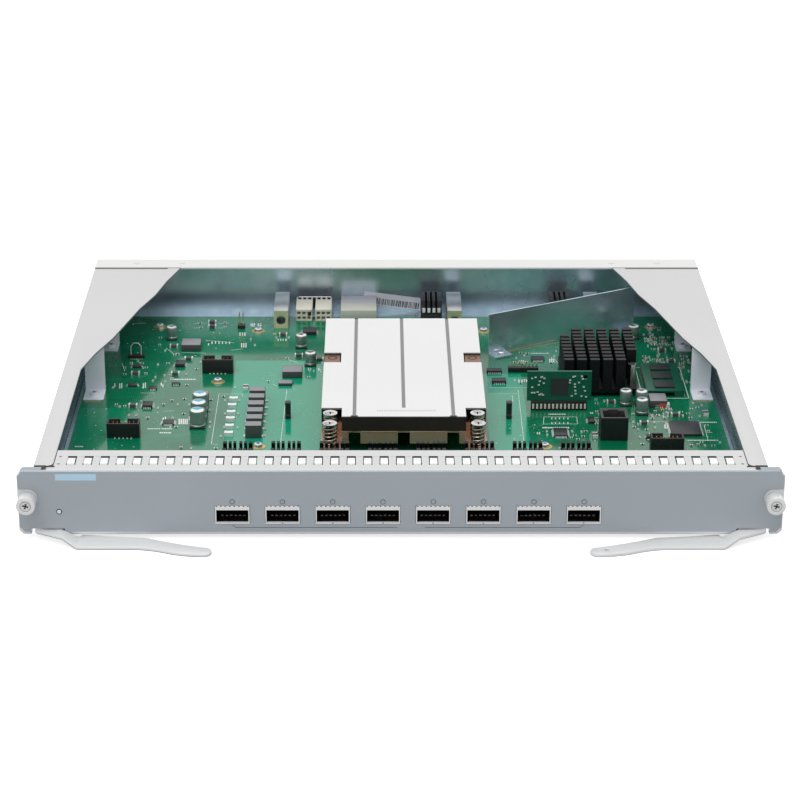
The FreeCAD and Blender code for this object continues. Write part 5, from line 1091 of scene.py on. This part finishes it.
def make_port_parts():
    """Liners of painted shade and contacts in the ports, notches and dots of painted shade on their bezels,
    rings of painted shade round the light pipes, and print on the panel.
    """
    notch_y = -0.63
    notch_z = BOARD_TOP + 10.75
    notches = []
    contacts = []
    rings = []
    dots = []
    shade_liners = []
    for x in PORTS:
        for number in range(6):
            notches.append((x - 6.6 + 2.64 * number, notch_y, notch_z))
            contacts.append((x - 6.4 + 2.56 * number, 9.5, BOARD_TOP + 0.62))
        rings.append((x, PRINT_Y, 21.2))
        for side in (-1, 1):
            notches.append((x + side * 9.0, notch_y, notch_z))
            # Painted shade: dark liners stand for the shadowed inside of each port.
            shade_liners.append(block("dark_plastic", (0.1, 19.0, 10.0), (x + side * 9.28, 9.2, BOARD_TOP + 0.6)))
        for up in (0.52, 10.65):
            shade_liners.append(block("dark_plastic", (18.6, 19.0, 0.1), (x, 9.2, BOARD_TOP + up)))
        dots.append((x, notch_y, BOARD_TOP + 0.25))
    # Painted shade in the bezels' notches.
    scattered("bezel_notches", notches, "cage_steel", "print_and_shade_grey", (0.85, 0.12, 0.5))
    settled(fused(*shade_liners), "port_shade_liners", slot="socket_black")
    scattered("port_contacts", contacts, "socket_black", "can_top", (1.5, 1.6, 0.08))
    # Painted shade in the gaps round the light pipes.
    ring = turned("print_and_shade_grey", [(1.22, 0), (1.52, 0), (1.52, -0.08), (1.22, -0.08)], axis="Y")
    finished(copies(ring, rings), "light_rings", slot="overlay_grey")
    ring = turned("print_and_shade_grey", [(1.3, 0), (1.72, 0), (1.72, -0.08), (1.3, -0.08)], STATUS_LIGHT, axis="Y")
    disc = turned("can_top", [(0, -0.24), (1.1, -0.24), (1.15, -0.18)], STATUS_LIGHT, axis="Y")
    settled(fused(ring, disc), "status_light", slot="overlay_grey")
    # Painted shade in the dots at the bezels' lower edge.
    scattered("bezel_dots", dots[1:], "cage_steel", "print_and_shade_grey", (0.8, 0.1, 0.45))
    runs = [
        ((-96.9, 6.3), (-95.0, 4.8)), ((-95.0, 4.8), (-2.0, 4.8)),
        ((14.0, 4.8), (103.5, 4.8)), ((103.5, 4.8), (105.4, 6.3)),
    ]
    marks = [panel_bar("print_and_shade_grey", first, last, 0.28) for first, last in runs]
    finished(fused(*marks), "port_line", slot="overlay_grey")
    field = block("print_blue", (23.4, 0.05, 4.0), (-186.1, -0.34, 34.6), 0)
    settled(field, "label_field", slot="overlay_grey")


def panel_bar(finish, first, last, width):
    """A thin printed bar on the panel's face, between places given as X and Z."""
    (x, z), (end_x, end_z) = first, last
    length = math.hypot(end_x - x, end_z - z)
    bar = block(finish, (length + width * 0.5, 0.05, width))
    middle = at((x + end_x) / 2, PRINT_Y, (z + end_z) / 2)
    return laid(bar, middle, (0, -math.atan2(end_z - z, end_x - x), 0))


# Coils, riser, sheet and plugs


def make_coil_parts():
    """Painted highlights along the coils' upper front edges, and plated ends on the moulded coils."""
    tabs = []
    lines = []
    for number in range(6):
        y = 124.0 + 11.5 * number
        for side in (-1, 1):
            tabs.append((-90.55 + side * 5.6, y + 3.5, BOARD_TOP))
        lines.append((-90.55, y + 0.15, BOARD_TOP + 8.7))
    scattered("coil_ends", tabs, "screw_steel", "tin", (1.4, 2.6, 0.5), 0.12)
    # Painted highlights along the coils' upper front edges.
    scattered("coil_edge_highlights", lines, "coil_grey", "pale_plastic", (9.8, 0.3, 0.05))


def make_riser_parts():
    """The socket's pale pads, and small parts on the plug-in board."""
    pads = [(82 + (41 - 35.56) / 2 + 2.54 * (number + 0.5), 168.62, BOARD_TOP + 1.3) for number in range(14)]
    scattered("riser_pads", pads, "socket_black", "cream", (1.25, 0.3, 3.4), 0.1)
    chance = random.Random(5)
    spots = []
    for low_x, high_x in ((85, 93), (109, 120)):
        for _ in range(16):
            spots.append((chance.uniform(low_x, high_x), 170.6, BOARD_TOP + chance.uniform(8, 23)))
    scattered("riser_small_parts", spots, "screw_steel", "tin", (1.3, 0.7, 0.7))


def make_edges():
    """Eased copies of the sheet and moulded pieces whose edges catch the light, with painted shade on the
    levers' downward facets and the covers' upright faces, and painted light on the coils' tops.
    """
    for side in ("left", "right"):
        # Painted shade on the levers' downward edge facets.
        eased_copy(f"{side}_lever", 0.6, "lever", f"{side}_lever_body", other=("lever_underside_shade", -0.95, -0.2))
        eased_copy(f"{side}_knob", 0.3, "knob", f"{side}_screw")
        # Painted shade: the covers' upright faces are darker than a cut edge alone.
        eased_copy(f"cover_{side}", 0.3, "cover", other=("cut_edge_shade", -0.4, 0.4))
    for node, width, finish in (
        ("box_headers", 0.2, "black_plastic"), ("jumper_headers", 0.25, "black_plastic"),
        ("service_jack", 0.3, "black_plastic"), ("board_chips", 0.15, "chip"),
        ("guide_blocks", 0.4, "guide"), ("power_plugs", 0.3, "cream"), ("signal_plugs", 0.3, "signal"),
        ("front_brackets", 0.3, "bracket"), ("rear_brackets", 0.3, "bracket"),
        ("riser_socket", 0.15, "black_plastic"),
    ):
        eased_copy(node, width, finish)
    # Painted light: the coils' upward faces are lighter than their sides.
    eased_copy("power_inductors", 0.35, "coil", other=("coil_lit_top", 0.8, 2))


def make_rail_marks():
    """Painted shade in the slots and at the front corners of the rail's finger windows, and pale folds
    between the windows.
    """
    slots = []
    corners = []
    folds = []
    for number in range(WINDOW_COUNT):
        x = WINDOW_PITCH * (number - (WINDOW_COUNT - 1) / 2)
        slots.append((x, 22.42, 38.75))
        corners += [(x - 2.45, 11.4, RAIL_TOP), (x + 2.45, 11.4, RAIL_TOP)]
        if number < WINDOW_COUNT - 1:
            folds.append((x + WINDOW_PITCH / 2, 22.2, RAIL_TOP))
    # Painted shade: dark strips at the windows' rear edges and dark squares at their front corners.
    scattered("window_slot_shades", slots, "sheet_steel", "shade", (5.3, 0.14, 1.1))
    scattered("window_corner_shades", corners, "sheet_steel", "shade", (0.7, 1.0, 0.06))
    scattered("rail_folds", folds, "sheet_steel", "pale_line", (2.6, 0.5, 0.04))


def make_seam_shadows():
    """Painted shadow in the seams between the covers and the rear flange, and between the covers and the
    panel, with a grey strip of softer painted shadow in front of the flange.
    """
    # Painted shadow: dark strips in the seams, and a grey strip of softer shadow in front of the rear
    # flange.
    bars = [
        ("shade", (51.0, 1.7, 0.06), 185.4, 349.1, COVER_TOP),
        ("cut_edge_shade", (51.0, 1.6, 0.05), 185.4, 347.5, COVER_TOP),
        ("shade", (9.0, 0.8, 0.06), 155.5, 349.5, COVER_TOP),
        ("shade", (12.0, 0.9, 0.3), 204.8, 7.4, RAIL_TOP),
        ("shade", (7.0, 1.6, 0.06), 207.2, 7.0, PANEL_TOP),
        ("shade", (2.6, 4.4, 0.06), 204.8, 4.0, PANEL_TOP),
    ]
    seam_shadows = [block(finish, size, (side * x, y, z)) for side in (-1, 1) for finish, size, x, y, z in bars]
    settled(fused(*seam_shadows), "cover_seam_shadows", slot="sheet_steel")


def make_knob_marks():
    """Painted shade in the ring groove and the cross recess on each captive screw's head."""
    for side, x in (("left", -KNOB_X), ("right", KNOB_X)):
        # Painted shade: a dark ring groove and dark cross bars.
        profile = [(2.9, 0), (3.2, 0), (3.2, -0.04), (2.9, -0.04)]
        ring = turned("cut_edge_shade", profile, (x, KNOB_FACE, KNOB_Z), axis="Y")
        bars = []
        for turn in (25, 115):
            bar = block("print_and_shade_grey", (3.6, 0.06, 0.7), (0, 0, -0.35))
            bars.append(laid(bar, Vector((x, KNOB_FACE - 0.02, KNOB_Z)) * MM, (0, math.radians(turn), 0)))
        settled(fused(ring, *bars), f"{side}_knob_shade_marks", body=f"{side}_screw")


def make_sheet_details():
    """Screws on the brackets' and baffle's feet, gold lines, the memory's frame, and an orange part."""
    places = [(side * x, y, 10.35) for x, y in ((196.5, 193.0), (194.0, 279.0)) for side in (-1, 1)]
    ring = turned("head_plating", [(1.2, 0.1), (2.3, 0.1), (2.5, 0)])
    # Painted reflection: the wells are tinted violet.
    well = turned("violet_reflection", [(0, 0.06), (1.2, 0.1)])
    finished(copies(fused(ring, well), places), "bracket_screw_tops", slot="screw_steel")
    foot_top = 8.4
    spot = (*photo_spot(501, 353, foot_top), foot_top)
    finished(copies(pan_head(2.2, 1.4, 0.6), [spot]), "baffle_foot_screw", slot="screw_steel")
    lines = [stroke("gold_edge", photo_spot(505, 352.3), photo_spot(559, 342.6), 0.8, 0.12)]
    for side in (-1, 1):
        lines.append(block("gold_edge", (10.0, 0.8, 0.12), (side * 196.5, 184.0, BOARD_TOP)))
    settled(fused(*lines), "gold_lines", slot="board_green")
    sides = ((173, 243.4, 30, 0.5), (173, 189.4, 30, 0.5), (158.2, 216.4, 0.5, 54), (187.8, 216.4, 0.5, 54))
    lines = [block("white_ink", (wide, deep, 0.06), (x, y, BOARD_TOP)) for x, y, wide, deep in sides]
    settled(fused(*lines), "memory_frame")
    spot = (169.0, 175.0, BOARD_TOP)
    base = block("pale_plastic", (9.5, 4.0, 2.6), spot, 0.2)
    lens = block("orange", (4.6, 4.1, 3.0), spot, 0.2)
    settled(fused(base, lens), "orange_part", slot="screw_steel")


def make_plug_parts():
    """Painted shade on the plugs' backs, the plugs' teeth and hood, the guide blocks' rear lips, and the
    rear wall's bare label.
    """
    # Painted shade: dark sheets on the plugs' back faces.
    back_shades = [block("chip", (24.4, 0.7, 8.3), (-57.75, 356.5, BOARD_TOP + 0.1))]
    back_shades += [block("chip", (14.4, 0.7, 12.8), (x, 355.45, BOARD_TOP + 0.1)) for x in SIGNAL_PLUGS_X]
    settled(fused(*back_shades), "plug_back_shades", slot="chip_black")
    teeth = []
    for x in SIGNAL_PLUGS_X:
        for number in range(4):
            spot = (x + 3.5 * (number - 1.5), 330.8, BOARD_TOP + 6.4)
            teeth.append(block("can_top", (2.0, 0.5, 3.2), spot, 0.1))
    settled(fused(*teeth), "plug_teeth", slot="connector_cream")
    hood = block("lilac", (25.0, 14.2, 1.0), (-26.5, 359.2, 12.55), 0.2)
    settled(hood, "plug_hood", slot="connector_cream")
    lips = [block("guide", (9.9, 4.3, 2.0), (x, 352.1, 18.75), 0.3) for x in (-80, 40, 136.2)]
    settled(fused(*lips), "guide_lips", slot="guide_metal")
    label = [block("label", (42.0, 0.12, 9.4))]
    chance = random.Random(21)
    along = -13.5
    while along < 19.5:
        wide = chance.choice((0.35, 0.5, 0.8))
        label.append(block("print_and_shade_grey", (wide, 0.16, 4.6), (along, 0, 0.9)))
        along += wide + chance.choice((0.35, 0.5, 0.7))
    place = Vector((-2.8, 366.5, 4.6)) * MM
    settled(laid(fused(*label), place, (0, math.radians(LABEL_TILT), 0)), "wall_label")


# All pieces

make_edges()
make_rail_marks()
make_seam_shadows()
make_plug_parts()
make_knob_marks()
make_sheet_details()
make_legs()
make_small_parts()
make_board_marks()
make_board_rings()
make_board_screws()
make_cans()
make_header_parts()
make_cooler_parts()
make_port_parts()
make_coil_parts()
make_riser_parts()


# Floor, light and camera


def make_stage():
    """A white floor and surround. The camera sees both brighter than they light the card."""
    bpy.ops.mesh.primitive_plane_add(size=30, location=(0, 0, 0))
    floor = bpy.context.object
    floor.name = "studio_floor"
    material = bpy.data.materials.new("Studio White")
    material.use_nodes = True
    tree = material.node_tree
    tree.nodes.clear()
    ways = tree.nodes.new("ShaderNodeLightPath")
    matte = added(tree, "ShaderNodeBsdfDiffuse", Color=(0.62, 0.62, 0.62, 1))
    lift = tree.nodes.new("ShaderNodeEmission")
    shown = tree.nodes.new("ShaderNodeMath")
    shown.operation = "MULTIPLY"
    shown.inputs[1].default_value = 0.72
    total = tree.nodes.new("ShaderNodeAddShader")
    out = tree.nodes.new("ShaderNodeOutputMaterial")
    joined(tree, [
        (ways, "Is Camera Ray", shown, 0), (shown, 0, lift, "Strength"), (matte, 0, total, 0),
        (lift, 0, total, 1), (total, 0, out, "Surface"),
    ])
    floor.data.materials.append(material)

    world = bpy.data.worlds.new("Studio")
    bpy.context.scene.world = world
    world.use_nodes = True
    tree = world.node_tree
    sky = tree.nodes["Background"]
    sky.inputs["Color"].default_value = (1, 1, 1, 1)
    ways = tree.nodes.new("ShaderNodeLightPath")
    seen = tree.nodes.new("ShaderNodeMath")
    seen.operation = "MAXIMUM"
    level = added(tree, "ShaderNodeMapRange", To_Min=0.62, To_Max=1.0)
    joined(tree, [
        (ways, "Is Camera Ray", seen, 0), (ways, "Is Glossy Ray", seen, 1), (seen, 0, level, "Value"),
        (level, "Result", sky, "Strength"),
    ])


def make_light(name, place, aim, size, energy):
    """A soft square lamp that points at a place."""
    lamp = bpy.data.lights.new(name, "AREA")
    lamp.size = size
    lamp.energy = energy
    holder = bpy.data.objects.new(name, lamp)
    bpy.context.scene.collection.objects.link(holder)
    holder.location = place
    holder.rotation_euler = (Vector(aim) - Vector(place)).to_track_quat("-Z", "Y").to_euler()


def make_camera():
    """The photo's view: a long lens, high in front of the panel, looking down, with a small shift."""
    camera = bpy.data.cameras.new("photo_camera")
    camera.lens = 113.35
    camera.sensor_width = 36
    camera.shift_x = 0.0291
    camera.clip_start = 0.05
    camera.clip_end = 60
    holder = bpy.data.objects.new("photo_camera", camera)
    bpy.context.scene.collection.objects.link(holder)
    holder.location = CAMERA_PLACE
    holder.rotation_euler = (math.pi / 2 - CAMERA_TILT, 0, 0)
    bpy.context.scene.camera = holder


make_stage()
make_light("key", (-0.7, -0.9, 2.2), (0, 0, 0), 1.6, 20)
make_light("top", (0.3, 0.5, 2.4), (0, 0, 0), 2.2, 12)
make_camera()
bpy.context.scene.view_settings.view_transform = "Standard"
